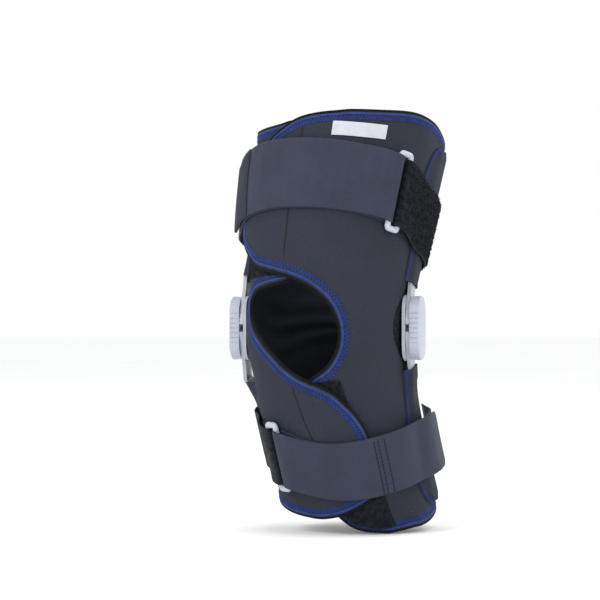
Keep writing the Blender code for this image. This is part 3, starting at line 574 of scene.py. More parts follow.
def add_node(tree, kind, inputs=None, **settings):
    """A node with its settings, and its inputs set to values or linked to sockets."""
    node = tree.nodes.new(kind)
    for key, value in settings.items():
        setattr(node, key, value)
    for key, value in (inputs or {}).items():
        if isinstance(value, bpy.types.NodeSocket):
            tree.links.new(value, node.inputs[key])
        else:
            node.inputs[key].default_value = value
    return node


def maths(tree, operation, first, second=0.0, third=0.0):
    """The result of one Math node."""
    inputs = {0: first, 1: second, 2: third}
    return add_node(tree, "ShaderNodeMath", inputs, operation=operation).outputs[0]


def mixed(tree, factor, first, second, blend="MIX"):
    """The result of one colour Mix node."""
    node = add_node(tree, "ShaderNodeMix", {0: factor}, data_type="RGBA", blend_type=blend)
    for key, value in ((6, first), (7, second)):
        if isinstance(value, bpy.types.NodeSocket):
            tree.links.new(value, node.inputs[key])
        else:
            node.inputs[key].default_value = value
    return node.outputs[2]


def spread(tree, value, low, high, to_low=0.0, to_high=1.0):
    """A value carried smoothly from one range to another."""
    inputs = {"Value": value, 1: low, 2: high, 3: to_low, 4: to_high}
    node = add_node(tree, "ShaderNodeMapRange", inputs, interpolation_type="SMOOTHSTEP")
    return node.outputs[0]


def new_group(name, inputs, outputs):
    """A node group with named sockets: its tree, its input node and its output node, or no tree if
    it was made before."""
    if name in bpy.data.node_groups:
        return None, None, None
    tree = bpy.data.node_groups.new(name, "ShaderNodeTree")
    for label, (kind, default) in inputs.items():
        socket = tree.interface.new_socket(name=label, in_out="INPUT", socket_type=kind)
        if default is not None:
            socket.default_value = default
    for label, kind in outputs.items():
        tree.interface.new_socket(name=label, in_out="OUTPUT", socket_type=kind)
    return tree, tree.nodes.new("NodeGroupInput"), tree.nodes.new("NodeGroupOutput")


def put_out(tree, end, **sockets):
    """Links sockets to a group's outputs."""
    for label, socket in sockets.items():
        tree.links.new(socket, end.inputs[label])


FLOAT = "NodeSocketFloat"
VECTOR = "NodeSocketVector"
COLOUR = "NodeSocketColor"


def knit_group():
    """Knit face: columns of V-shaped stitches. Inside a column the row is shifted by the distance
    from the column's middle, and a cosine of the row gives the rib of each stitch."""
    tree, start, end = new_group("knit_face", {"Vector": (VECTOR, None), "Pitch": (FLOAT, 0.0007)},
                                 {"Height": FLOAT, "Groove": FLOAT})
    if tree:
        parts = add_node(tree, "ShaderNodeSeparateXYZ", {0: start.outputs["Vector"]})
        column = maths(tree, "DIVIDE", parts.outputs[0], start.outputs["Pitch"])
        row = maths(tree, "DIVIDE", parts.outputs[1], start.outputs["Pitch"])
        part = maths(tree, "FRACT", column)
        off_middle = maths(tree, "ABSOLUTE", maths(tree, "SUBTRACT", part, 0.5))
        shifted = maths(tree, "MULTIPLY_ADD", off_middle, 1.4, row)
        rib = maths(tree, "COSINE", maths(tree, "MULTIPLY", shifted, 2 * pi))
        rib = maths(tree, "MULTIPLY_ADD", rib, 0.5, 0.5)
        edge = spread(tree, off_middle, 0.28, 0.5, 1.0, 0.0)
        groove = maths(tree, "SUBTRACT", 1.0, edge)
        put_out(tree, end, Height=maths(tree, "MULTIPLY", rib, edge), Groove=groove)
    return bpy.data.node_groups["knit_face"]


def weave_group():
    """Plain weave: two crossing sets of yarns, each a rectified sine, that take turns on top."""
    tree, start, end = new_group("plain_weave", {"Vector": (VECTOR, None), "Pitch": (FLOAT, 0.0006)},
                                 {"Height": FLOAT, "Over": FLOAT})
    if tree:
        parts = add_node(tree, "ShaderNodeSeparateXYZ", {0: start.outputs["Vector"]})
        turn = [maths(tree, "MULTIPLY", maths(tree, "DIVIDE", parts.outputs[i], start.outputs["Pitch"]), pi)
                for i in (0, 1)]
        yarn = [maths(tree, "ABSOLUTE", maths(tree, "SINE", t)) for t in turn]
        over = maths(tree, "MULTIPLY", maths(tree, "SINE", turn[0]), maths(tree, "SINE", turn[1]))
        over = spread(tree, over, -0.3, 0.3)
        first = maths(tree, "MULTIPLY", yarn[0], over)
        second = maths(tree, "MULTIPLY", yarn[1], maths(tree, "SUBTRACT", 1.0, over))
        put_out(tree, end, Height=maths(tree, "ADD", first, second), Over=over)
    return bpy.data.node_groups["plain_weave"]


def mottle_group():
    """Uneven colour: slow clouds that darken and lighten a colour, finer flecks, and a wear mask
    of the same clouds for roughness."""
    tree, start, end = new_group(
        "mottle",
        {"Colour": (COLOUR, (0.5, 0.5, 0.5, 1)), "Cloud": (FLOAT, 30.0), "Fleck": (FLOAT, 900.0),
         "Amount": (FLOAT, 0.2)},
        {"Colour": COLOUR, "Cloud": FLOAT, "Fleck": FLOAT})
    if tree:
        place = add_node(tree, "ShaderNodeTexCoord").outputs["Object"]
        cloud = add_node(tree, "ShaderNodeTexNoise",
                         {"Vector": place, "Scale": start.outputs["Cloud"], "Detail": 4.0, "Roughness": 0.55})
        fleck = add_node(tree, "ShaderNodeTexNoise",
                         {"Vector": place, "Scale": start.outputs["Fleck"], "Detail": 2.0})
        slow = spread(tree, cloud.outputs[0], 0.30, 0.70)
        fine = spread(tree, fleck.outputs[0], 0.35, 0.70)
        both = maths(tree, "ADD", maths(tree, "MULTIPLY", slow, 0.6), maths(tree, "MULTIPLY", fine, 0.4))
        shade = maths(tree, "MULTIPLY_ADD", maths(tree, "SUBTRACT", both, 0.5), start.outputs["Amount"], 0.0)
        factor = maths(tree, "ADD", maths(tree, "MULTIPLY", shade, 2.0), 1.0)
        grey = add_node(tree, "ShaderNodeCombineColor", {0: factor, 1: factor, 2: factor}).outputs[0]
        result = mixed(tree, 1.0, start.outputs["Colour"], grey, "MULTIPLY")
        put_out(tree, end, Colour=result, Cloud=slow, Fleck=fine)
    return bpy.data.node_groups["mottle"]


def lint_group():
    """Lint: sparse short fibres, the peaks of a stretched noise, as a mask."""
    tree, start, end = new_group("lint", {"Scale": (FLOAT, 260.0), "Level": (FLOAT, 0.72)}, {"Mask": FLOAT})
    if tree:
        place = add_node(tree, "ShaderNodeTexCoord").outputs["Object"]
        bent = add_node(tree, "ShaderNodeTexNoise", {"Vector": place, "Scale": 60.0, "Detail": 1.0})
        drift = add_node(tree, "ShaderNodeVectorMath", {0: bent.outputs["Color"], 1: (0.012, 0.012, 0.012)},
                         operation="MULTIPLY")
        moved = add_node(tree, "ShaderNodeVectorMath", {0: place, 1: drift.outputs[0]}, operation="ADD")
        stretched = add_node(tree, "ShaderNodeMapping",
                             {"Vector": moved.outputs[0], "Scale": (1.0, 1.0, 5.0)})
        noise = add_node(tree, "ShaderNodeTexNoise",
                         {"Vector": stretched.outputs[0], "Scale": start.outputs["Scale"], "Detail": 2.0})
        level = start.outputs["Level"]
        top = maths(tree, "ADD", level, 0.06)
        put_out(tree, end, Mask=spread(tree, noise.outputs[0], level, top))
    return bpy.data.node_groups["lint"]


def grain_group():
    """Moulded or coated grain: a fine noise and a coarser ripple added together."""
    tree, start, end = new_group("grain", {"Scale": (FLOAT, 2200.0), "Ripple": (FLOAT, 120.0)},
                                 {"Height": FLOAT, "Ripple": FLOAT})
    if tree:
        place = add_node(tree, "ShaderNodeTexCoord").outputs["Object"]
        fine = add_node(tree, "ShaderNodeTexNoise",
                        {"Vector": place, "Scale": start.outputs["Scale"], "Detail": 3.0})
        slow = add_node(tree, "ShaderNodeTexNoise",
                        {"Vector": place, "Scale": start.outputs["Ripple"], "Detail": 3.0})
        total = maths(tree, "MULTIPLY_ADD", slow.outputs[0], 0.5, fine.outputs[0])
        put_out(tree, end, Height=total, Ripple=slow.outputs[0])
    return bpy.data.node_groups["grain"]


def use_group(tree, group, **inputs):
    """A group's node, with its inputs set or linked."""
    node = tree.nodes.new("ShaderNodeGroup")
    node.node_tree = group
    for key, value in inputs.items():
        if isinstance(value, bpy.types.NodeSocket):
            tree.links.new(value, node.inputs[key])
        else:
            node.inputs[key].default_value = value
    return node


def new_finish(name, base, roughness, metallic=0.0, **fixed):
    """A material with a Principled shader: the material, its tree and its shader."""
    material = bpy.data.materials.new(name + "_finish")
    material.use_nodes = True
    tree = material.node_tree
    shader = tree.nodes["Principled BSDF"]
    shader.inputs["Base Color"].default_value = (*base, 1)
    shader.inputs["Roughness"].default_value = roughness
    shader.inputs["Metallic"].default_value = metallic
    for key, value in fixed.items():
        shader.inputs[key.replace("_", " ").title()].default_value = value
    material.diffuse_color = (*base, 1)
    return material, tree, shader


def bump(tree, shader, height, distance, strength=1.0, under=None):
    """A Bump node into the shader's Normal, over another one if given."""
    inputs = {"Height": height, "Distance": distance, "Strength": strength}
    if under is not None:
        inputs["Normal"] = under
    node = add_node(tree, "ShaderNodeBump", inputs)
    tree.links.new(node.outputs[0], shader.inputs["Normal"])
    return node.outputs[0]


def once(maker):
    """Makes a material at its first use, and gives the same one afterwards."""
    def made():
        name = maker.__name__ + "_finish"
        if name not in bpy.data.materials:
            maker(bpy.context.scene.brace_colours)
        return bpy.data.materials[name]
    return made


@once
def neoprene(colours):
    """Matt knit on foam: stitch ribs with painted shade between them, slow clouds and a little lint."""
    base = tuple(colours.neoprene)
    _, tree, shader = new_finish("neoprene", base, 0.88)
    shader.inputs["Specular IOR Level"].default_value = 0.15
    uv = add_node(tree, "ShaderNodeUVMap", uv_map="UVMap").outputs[0]
    knit = use_group(tree, knit_group(), Vector=uv, Pitch=0.00075)
    mottle = use_group(tree, mottle_group(), Colour=(*base, 1), Cloud=22.0, Fleck=700.0, Amount=0.16)
    lint = use_group(tree, lint_group(), Scale=240.0, Level=0.735)
    # Painted shade: the colour is darkened where the knit is low, between the ribs and at the edges of each
    # column.
    deep = maths(tree, "MULTIPLY_ADD", knit.outputs["Height"], 0.30, 0.82)
    grey = add_node(tree, "ShaderNodeCombineColor", {0: deep, 1: deep, 2: deep}).outputs[0]
    shaded = mixed(tree, 1.0, mottle.outputs["Colour"], grey, "MULTIPLY")
    faint = maths(tree, "MULTIPLY", lint.outputs["Mask"], 0.16)
    tree.links.new(mixed(tree, faint, shaded, (0.30, 0.32, 0.36, 1)), shader.inputs["Base Color"])
    tree.links.new(spread(tree, mottle.outputs["Cloud"], 0, 1, 0.74, 0.90), shader.inputs["Roughness"])
    bump(tree, shader, knit.outputs["Height"], 0.00012, 0.55)


@once
def strap_cloth(colours):
    """Smooth laminated strap: a fine flat weave with a faint gloss and soft rubbed streaks."""
    base = tuple(colours.strap)
    _, tree, shader = new_finish("strap_cloth", base, 0.62)
    shader.inputs["Specular IOR Level"].default_value = 0.20
    uv = add_node(tree, "ShaderNodeUVMap", uv_map="UVMap").outputs[0]
    weave = use_group(tree, weave_group(), Vector=uv, Pitch=0.0005)
    mottle = use_group(tree, mottle_group(), Colour=(*base, 1), Cloud=35.0, Fleck=500.0, Amount=0.13)
    stretched = add_node(tree, "ShaderNodeMapping", {"Vector": uv, "Scale": (14.0, 120.0, 1.0)})
    streak = add_node(tree, "ShaderNodeTexNoise",
                      {"Vector": stretched.outputs[0], "Scale": 1.0, "Detail": 3.0})
    rubbed = maths(tree, "MULTIPLY", spread(tree, streak.outputs[0], 0.45, 0.75), 0.22)
    lighter = mixed(tree, rubbed, mottle.outputs["Colour"], (base[0] * 1.5, base[1] * 1.5, base[2] * 1.4, 1))
    tree.links.new(lighter, shader.inputs["Base Color"])
    tree.links.new(spread(tree, weave.outputs["Height"], 0, 1, 0.68, 0.50), shader.inputs["Roughness"])
    bump(tree, shader, weave.outputs["Height"], 0.00008, 0.5)


def soft_pile(name, base, light):
    """Fuzzy cloth: dark mottled loops, with a painted sheen, standing for the lit tip of each loop, that
    lightens the colour in patches.
    """
    _, tree, shader = new_finish(name, base, 0.94, sheen_weight=0.05, sheen_roughness=0.55)
    shader.inputs["Specular IOR Level"].default_value = 0.15
    mottle = use_group(tree, mottle_group(), Colour=(*base, 1), Cloud=260.0, Fleck=1500.0, Amount=0.75)
    # Painted sheen: in patches the colour goes towards the lighter one, as the lit tip of each loop.
    painted_tip_sheen = maths(tree, "MULTIPLY", mottle.outputs["Cloud"], 0.55)
    tree.links.new(mixed(tree, painted_tip_sheen, mottle.outputs["Colour"], light), shader.inputs["Base Color"])
    grain = use_group(tree, grain_group(), Scale=3000.0, Ripple=700.0)
    bump(tree, shader, grain.outputs["Height"], 0.0002, 0.6)


@once
def loop_pile(colours):
    """Brushed loops of the tabs and patches."""
    base = tuple(colours.pile)
    # The lighter colour, 2.6 times the base, is the painted sheen on the tip of each loop.
    soft_pile("loop_pile", base, (base[0] * 2.6, base[1] * 2.6, base[2] * 2.6, 1))


@once
def hook_tape(colours):
    """Hook tape: stiff rows of hooks, which catch the light."""
    base = tuple(colours.hook)
    _, tree, shader = new_finish("hook_tape", base, 0.6)
    uv = add_node(tree, "ShaderNodeUVMap", uv_map="UVMap").outputs[0]
    weave = use_group(tree, weave_group(), Vector=uv, Pitch=0.0009)
    tree.links.new(spread(tree, weave.outputs["Height"], 0, 1, 0.85, 0.45), shader.inputs["Roughness"])
    mottle = use_group(tree, mottle_group(), Colour=(*base, 1), Cloud=80.0, Fleck=1200.0, Amount=0.4)
    tree.links.new(mottle.outputs["Colour"], shader.inputs["Base Color"])
    bump(tree, shader, weave.outputs["Height"], 0.0004)


@once
def binding_tape(colours):
    """Black knitted edge: close ribs across the edge."""
    base = tuple(colours.rim)
    _, tree, shader = new_finish("binding_tape", base, 0.82)
    shader.inputs["Specular IOR Level"].default_value = 0.15
    uv = add_node(tree, "ShaderNodeUVMap", uv_map="UVMap").outputs[0]
    weave = use_group(tree, weave_group(), Vector=uv, Pitch=0.00055)
    mottle = use_group(tree, mottle_group(), Colour=(*base, 1), Cloud=60.0, Fleck=900.0, Amount=0.5)
    tree.links.new(mottle.outputs["Colour"], shader.inputs["Base Color"])
    tree.links.new(spread(tree, weave.outputs["Height"], 0, 1, 0.88, 0.66), shader.inputs["Roughness"])
    bump(tree, shader, weave.outputs["Height"], 0.0002)


def twisted_thread(name, base, roughness):
    """Sewing thread: slanting twists along the bar, with a painted highlight on top of each twist."""
    _, tree, shader = new_finish(name, base, roughness)
    shader.inputs["Specular IOR Level"].default_value = 0.25
    place = add_node(tree, "ShaderNodeTexCoord").outputs["Object"]
    twist = add_node(tree, "ShaderNodeTexWave",
                     {"Vector": place, "Scale": 620.0, "Distortion": 2.0, "Detail": 1.0},
                     bands_direction="DIAGONAL")
    mottle = use_group(tree, mottle_group(), Colour=(*base, 1), Cloud=180.0, Fleck=1600.0, Amount=0.5)
    # Painted highlight: the top of each twist is mixed towards a lighter colour.
    light = tuple(min(c * 1.8 + 0.004, 1) for c in base)
    top = maths(tree, "MULTIPLY", twist.outputs[1], 0.45)
    tree.links.new(mixed(tree, top, mottle.outputs["Colour"], (*light, 1)), shader.inputs["Base Color"])
    bump(tree, shader, twist.outputs[1], 0.0001, 0.6)


@once
def blue_thread(colours):
    """Bright polyester thread of the edge stitching."""
    twisted_thread("blue_thread", tuple(colours.thread), 0.62)


@once
def shaded_blue_thread(colours):
    """The same blue thread with painted shade: darker where it lies flat under the zigzag."""
    twisted_thread("shaded_blue_thread", tuple(colours.thread_base), 0.65)


@once
def seam_thread_and_crease_shade(colours):
    """Thread of the plain seams, and the painted shade of their creases."""
    twisted_thread("seam_thread_and_crease_shade", tuple(colours.seam_thread_and_crease_shade), 0.6)


def coated(name, base, roughness, metallic, scale, ripple, wear):
    """A moulded or coated surface: fine grain, uneven gloss and a few faint scuffs."""
    _, tree, shader = new_finish(name, base, roughness, metallic)
    grain = use_group(tree, grain_group(), Scale=scale, Ripple=ripple)
    mottle = use_group(tree, mottle_group(), Colour=(*base, 1), Cloud=70.0, Fleck=600.0, Amount=0.07)
    scuff = use_group(tree, lint_group(), Scale=150.0, Level=0.70)
    worn = tuple(c * wear for c in base)
    amount = maths(tree, "MULTIPLY", scuff.outputs["Mask"], 0.5)
    tree.links.new(mixed(tree, amount, mottle.outputs["Colour"], (*worn, 1)), shader.inputs["Base Color"])
    gloss = spread(tree, grain.outputs["Ripple"], 0.35, 0.65, roughness - 0.05, roughness + 0.08)
    tree.links.new(gloss, shader.inputs["Roughness"])
    bump(tree, shader, grain.outputs["Height"], 0.00005, 0.5)


@once
def grey_plastic(colours):
    """Moulded plastic of the covers, plates and rings."""
    coated("grey_plastic", tuple(colours.plastic), 0.42, 0.0, 1800.0, 90.0, 0.88)


@once
def coated_metal(colours):
    """Grey coated sheet metal of the arms."""
    coated("coated_metal", tuple(colours.metal), 0.36, 0.15, 2600.0, 140.0, 0.80)


@once
def rivet_steel(colours):
    """Turned steel: rings round the axis of the hinge, which runs along X."""
    base = tuple(colours.rivet)
    _, tree, shader = new_finish("rivet_steel", base, 0.28, 1.0)
    place = add_node(tree, "ShaderNodeTexCoord").outputs["Object"]
    rings = add_node(tree, "ShaderNodeTexWave", {"Vector": place, "Scale": 900.0, "Distortion": 1.0},
                     wave_type="RINGS", rings_direction="X")
    tree.links.new(spread(tree, rings.outputs[1], 0, 1, 0.22, 0.38), shader.inputs["Roughness"])
    bump(tree, shader, rings.outputs[1], 0.00003, 0.4)


@once
def label_cloth(colours):
    """Woven satin label, blank."""
    base = tuple(colours.label)
    _, tree, shader = new_finish("label_cloth", base, 0.5, sheen_weight=0.15)
    uv = add_node(tree, "ShaderNodeUVMap", uv_map="UVMap").outputs[0]
    weave = use_group(tree, weave_group(), Vector=uv, Pitch=0.0004)
    mottle = use_group(tree, mottle_group(), Colour=(*base, 1), Cloud=90.0, Fleck=1100.0, Amount=0.10)
    tree.links.new(mottle.outputs["Colour"], shader.inputs["Base Color"])
    tree.links.new(spread(tree, weave.outputs["Height"], 0, 1, 0.62, 0.46), shader.inputs["Roughness"])
    bump(tree, shader, weave.outputs["Height"], 0.00008)


@once
def studio_floor(colours):
    """Pale matt floor paint with a barely visible unevenness."""
    base = tuple(colours.floor)
    _, tree, shader = new_finish("studio_floor", base, 0.85)
    mottle = use_group(tree, mottle_group(), Colour=(*base, 1), Cloud=2.0, Fleck=60.0, Amount=0.02)
    tree.links.new(mottle.outputs["Colour"], shader.inputs["Base Color"])


# Sleeve


def sleeve_grid(segment):
    """Angles and heights of half of the sheet, from the knee to its hem. A row's height is a power
    of its share times the hem's height, so rows are close together at the knee. Columns run
    from the left edge round the back to the right edge."""
    left = np.linspace(0, 1, 42)[:-1]
    around = np.linspace(-SIDE_ANGLE, SIDE_ANGLE - 360, 165)
    right = np.linspace(0, 1, 73)[1:]
    nominal = np.concatenate([-4 + left * (4 - SIDE_ANGLE), around, -298 - right * 50])
    hem = through(HEM_STATIONS, 1 if segment == "thigh" else 2, nominal)
    height = np.linspace(0, 1, 88)[:, None] ** 1.35 * hem[None, :]
    left_edge = through(LEFT_EDGE, 1, height[:, : len(left)])
    right_edge = through(RIGHT_EDGE, 1, height[:, -len(right):]) - 360
    angle = np.broadcast_to(nominal, height.shape).copy()
    angle[:, : len(left)] = left_edge + left * (-SIDE_ANGLE - left_edge)
    angle[:, -len(right):] = SIDE_ANGLE - 360 + right * (right_edge - SIDE_ANGLE + 360)
    return angle, height


def rim_path(segment, step=0.0008):
    """Angles and heights along the edge of half of the sheet, at even steps: up the left front
    edge, round the hem and down the right front edge, with its corners rounded a little."""
    grid = np.stack(sleeve_grid(segment), -1)
    path = np.concatenate([grid[:, 0], grid[-1, 1:-1], grid[::-1, -1]])
    path = even_steps(path, step)
    core = np.ones(9) / 9
    padded = [np.pad(column, 4, mode="reflect", reflect_type="odd") for column in path.T]
    smooth = np.stack([np.convolve(column, core, "valid") for column in padded], -1)
    return even_steps(smooth, step)


def even_steps(path, step):
    """A path of angles and heights, read again at even distances."""
    points = on_leg(path[:, 0], path[:, 1], WRAP)
    run = np.concatenate([[0], np.cumsum(np.linalg.norm(np.diff(points, axis=0), axis=1))])
    at = np.linspace(0, run[-1], int(run[-1] / step) + 1)
    return np.stack([np.interp(at, run, path[:, 0]), np.interp(at, run, path[:, 1])], -1)


def beside(path, inset, sign):
    """A path moved sideways by a distance on the surface: square to its tangent, where a step
    round the leg counts as the angle times the radius."""
    radius = leg_radius(np.radians(path[:, 0]), path[:, 1]) + WRAP
    ahead = np.stack([np.gradient(np.radians(path[:, 0])) * radius, np.gradient(path[:, 1])], -1)
    core = np.ones(7) / 7
    ahead = np.stack([np.convolve(np.pad(c, 3, mode="edge"), core, "valid") for c in ahead.T], -1)
    ahead /= np.linalg.norm(ahead, axis=1, keepdims=True)
    moved = path.copy()
    moved[:, 0] -= np.degrees(ahead[:, 1] * inset * sign / radius)
    moved[:, 1] += ahead[:, 0] * inset * sign
    return moved


def on_sheet(path, rise=0.0):
    """Points above the sheet's outer face, and the directions outwards there."""
    lift = sheet_face(path[:, 0], path[:, 1]) + rise
    return on_leg(path[:, 0], path[:, 1], lift), outwards_at(path[:, 0], path[:, 1])


def zigzag(path, low, high, pitch, place, radius, sign=1):
    """A zigzag thread between two insets of a path: the inset is a rounded triangle wave of the
    running length, and the thread dips into the cloth at each turn."""
    run = np.arange(len(path)) * 0.0008
    at = np.arange(0, run[-1], pitch / 10)
    fine = np.stack([np.interp(at, run, path[:, 0]), np.interp(at, run, path[:, 1])], -1)
    wave = np.arcsin(0.97 * np.sin(2 * pi * at / pitch)) / np.arcsin(0.97)
    inset = (low + high) / 2 + wave * (high - low) / 2
    moved = beside(fine, inset, sign)
    rise = radius * (0.9 - 1.5 * np.abs(wave) ** 6)
    points, out = place(moved, rise)
    return sections(points, out, radius, radius * 0.85, 6)


class BraceSleeve(bpy.types.Operator):
    """Make the sleeve in two halves that meet at the middle of the knee"""

    bl_idname = "brace.sleeve"
    bl_label = "Sleeve"

    def execute(self, context):
        stands_for = {"thigh": ["thigh_wrap", "popliteal_panel"],
                      "calf": ["calf_wrap", "knee_front_left", "knee_front_right"]}
        for segment in SEGMENTS:
            angle, height = sleeve_grid(segment)
            inner = on_leg(angle, height, sheet_lift(angle, height))
            outer = on_leg(angle, height, sheet_face(angle, height))
            half = slab(f"{segment}_sleeve", inner, outer)
            dress(half, neoprene, segment, stands_for[segment])
        return {"FINISHED"}


class BraceEdges(bpy.types.Operator):
    """Make the binding round the sleeve's edges, its blue line and its zigzag stitching"""

    bl_idname = "brace.edges"
    bl_label = "Edges"

    def execute(self, context):
        sizes = context.scene.brace_sizes
        for segment, sign in SEGMENTS.items():
            path = rim_path(segment)
            out = outwards_at(path[:, 0], path[:, 1])
            middle = beside(path, (RIM_IN - RIM_OUT) / 2, sign)
            wall = sheet_lift(middle[:, 0], middle[:, 1]) + WRAP / 2
            rim = sections(on_leg(middle[:, 0], middle[:, 1], wall), out, (RIM_IN + RIM_OUT) / 2,
                           WRAP / 2 + 0.00035, 14)
            dress(tube(f"{segment}_rim", rim), binding_tape, segment, [f"{segment}_binding"])

            line = beside(path, LINE_INSET, sign)
            points, out = on_sheet(line, 0.00015)
            beat = 1 + 0.10 * np.cos(2 * pi * np.arange(len(points)) * 0.0008 / 0.0024)
            cord = sections(points, out, LINE_HALF * beat, 0.00048 * beat, 10)
            dress(tube(f"{segment}_edge_line", cord), blue_thread, segment)

            # Painted shade: a flat band of the darker copy of the blue thread under the zigzag.
            bed = beside(path, sum(ZIGZAG) / 2, sign)
            points, out = on_sheet(bed, 0.00002)
            flat = sections(points, out, (ZIGZAG[1] - ZIGZAG[0]) / 2 + 0.0003, 0.00016, 10)
            dress(tube(f"{segment}_edge_shaded_thread", flat), shaded_blue_thread, segment)

            thread = zigzag(path, *ZIGZAG, sizes.stitch_pitch, on_sheet, sizes.thread_radius, sign)
            dress(tube(f"{segment}_edge_zigzag", thread), blue_thread, segment)
        return {"FINISHED"}


# Pockets


def side_slip(side, segment):
    """How much further along the leg a side is than the middle, at one distance from the knee."""
    lean = THIGH_LEAN if segment == "thigh" else CALF_LEAN
    return SIDES[side] * 0.068 * sin(lean)


def side_level(side, segment, reach):
    """Distance of an arm's inner face from the middle plane, by distance from its pivot: flat
    in the hinge, then a smooth step down onto the sleeve."""
    height = SEGMENTS[segment] * (reach + PIVOT_RISE + side_slip(side, segment))
    sides = SIDES[side] * np.linspace(ARM_ANGLE - 8, ARM_ANGLE + 8, 5)
    points = on_leg(sides, np.asarray(height)[..., None], WRAP + SOFT_FIT)
    sleeve = (SIDES[side] * points[..., 0]).max(axis=-1)
    flat = PLATE_OUTER + FIT
    bent = flat + (sleeve - flat) * smoothstep((reach - 0.018) / 0.036)
    return np.maximum(bent, sleeve + (reach < 0.03) * (flat - sleeve))


def pocket_edge(segment, side, height):
    """Half width of a pocket by height: open at the knee end, and round at the far end, where it
    follows the square root of one less a fourth power."""
    low, high, near, far = POCKETS[segment, side]
    middle = (low + high) / 2
    half = (high - low) / 2
    along = np.clip(SEGMENTS[segment] * (height - middle) / half, 0, 1)
    knee_end = low if SEGMENTS[segment] > 0 else high
    share = np.abs(height - knee_end) / (high - low)
    width = near + (far - near) * smoothstep(share * 1.6)
    return width * np.sqrt(np.clip(1 - along**4, 0.003, 1))


def pocket_rise(segment, side, angle_deg, height, spread_out=0.0):
    """How far a pocket stands off the sleeve over its arm, and a mask that is 1 along it."""
    sign = SIDES[side]
    reach = np.abs(height) - PIVOT_RISE - side_slip(side, segment)
    arm = side_level(side, segment, reach) + ARM + 2 * TOUCH
    bare = sign * on_leg(sign * ARM_ANGLE, height, WRAP)[..., 0]
    rise = np.maximum(arm - bare, 0)
    radius = leg_radius(np.radians(np.full_like(height, ARM_ANGLE)), height) + WRAP
    away = np.abs(np.radians(sign * angle_deg - ARM_ANGLE)) * radius
    edge = pocket_edge(segment, side, height) + spread_out
    inside = smoothstep((edge - 0.0015 - away) / np.maximum(edge - 0.0095, 0.004))
    low, high = POCKETS[segment, side][:2]
    ends = smoothstep((height - low + spread_out) / 0.004) * smoothstep((high - height + spread_out) / 0.004)
    return rise * inside, ends


def pocket_point(segment, side, share, along):
    """Angle and height of a spot on a pocket: share runs across it from -1 to 1, and along runs
    from the knee end at 0 to the far end at 1, with more spots towards the round end."""
    low, high = POCKETS[segment, side][:2]
    knee_end, far_end = (low, high) if segment == "thigh" else (high, low)
    height = knee_end + (far_end - knee_end) * np.sin(along * pi / 2) ** (0.85)
    radius = leg_radius(np.radians(np.full_like(height, ARM_ANGLE)), height) + WRAP
    angle = ARM_ANGLE + np.degrees(share * pocket_edge(segment, side, height) / radius)
    return angle * SIDES[side], height


def pocket_lift(segment, side, angle, height):
    """Lift of a pocket's inner face, without its thickness."""
    rise = pocket_rise(segment, side, angle, height)[0]
    return WRAP + 0.0001 + drape(angle, height) + rise


class BracePockets(bpy.types.Operator):
    """Make the four pockets over the hinge arms, and the stitching round each"""

    bl_idname = "brace.pockets"
    bl_label = "Pockets"

    def execute(self, context):
        sizes = context.scene.brace_sizes
        for segment, side in POCKETS:
            along, share = np.meshgrid(np.linspace(0, 1, 72), np.linspace(-1, 1, 49), indexing="ij")
            angle, height = pocket_point(segment, side, share, along)
            low = pocket_lift(segment, side, angle, height)
            skived = 0.35 + 0.65 * smoothstep((1 - np.abs(share)) / 0.10) * smoothstep((1 - along) / 0.03)
            high = low + POCKET * skived
            inner = on_leg(angle, height, low)
            outer = on_leg(angle, height, high)
            body = "only_" + segment
            name = f"{segment}_pocket_{side}"
            cover = slab(f"{name}_cloth", inner, outer)
            dress(cover, neoprene, body, [name])

            path = even_steps(pocket_seam(segment, side), 0.0008)
            points, out = self.on_pocket(segment, side, path)
            # Painted shade: a flat band of the darker copy of the blue thread under the pocket's zigzag.
            base = sections(points, out, 0.0015, 0.00015, 8)
            base = dress(tube(f"{name}_seam_shaded_thread", base), shaded_blue_thread, body)

            def place(moved, rise):
                return self.on_pocket(segment, side, moved, rise)

            thread = zigzag(path, -0.0013, 0.0013, sizes.stitch_pitch * 0.8, place, sizes.thread_radius)
            thread = dress(tube(f"{name}_seam", thread), blue_thread, body)
        return {"FINISHED"}

    @staticmethod
    def on_pocket(segment, side, path, rise=0.0):
        """Points above a pocket's outer face, and the directions outwards there."""
        angle, height = path.T
        lift = pocket_lift(segment, side, angle, height) + POCKET * 0.85 + rise
        return on_leg(angle, height, lift), outwards_at(angle, height)


def pocket_seam(segment, side):
    """Angles and heights of the seam: up one edge of a pocket, round its end and down the other."""
    along = np.sin(np.linspace(0, 1, 80) * pi / 2)
    share = np.full_like(along, 1.0)
    inset = 0.0023
    width = pocket_edge(segment, side, pocket_point(segment, side, 0 * along, along)[1])
    share = np.maximum(width - inset, 0) / width
    kept = width > inset
    front = np.stack(pocket_point(segment, side, -share[kept], along[kept] * 0.985), -1)
    back = np.stack(pocket_point(segment, side, share[kept], along[kept] * 0.985), -1)
    return np.concatenate([front, back[::-1]])


# Patches of pile and hook


def straight(bottom, top):
    """A line of a patch from the lowest height of the sleeve to the highest."""
    return (-0.15, bottom), (0.15, top)


def line_at(ends, height):
    """The angle of a straight line between two spots, at a height."""
    (low, low_angle), (high, high_angle) = ends
    return low_angle + (high_angle - low_angle) * (height - low) / (high - low)


def sheet_patch(name, angles, heights, low, depth, turn, steps=(60, 60)):
    """A four-sided patch on a front panel: a slab from one line of angles and heights to another.
    Its angles are turned by a whole circle where the sheet's own angle is."""
    height, share = np.meshgrid(np.linspace(*heights, steps[0]), np.linspace(0, 1, steps[1]), indexing="ij")
    first, last = (through(line, 1, height) if len(line) > 2 else line_at(line, height) for line in angles)
    angle = first + (last - first) * share
    lift = sheet_lift(angle + turn, height) + low
    top = lift + depth
    return slab(name, on_leg(angle, height, lift), on_leg(angle, height, top)), angle, height, top


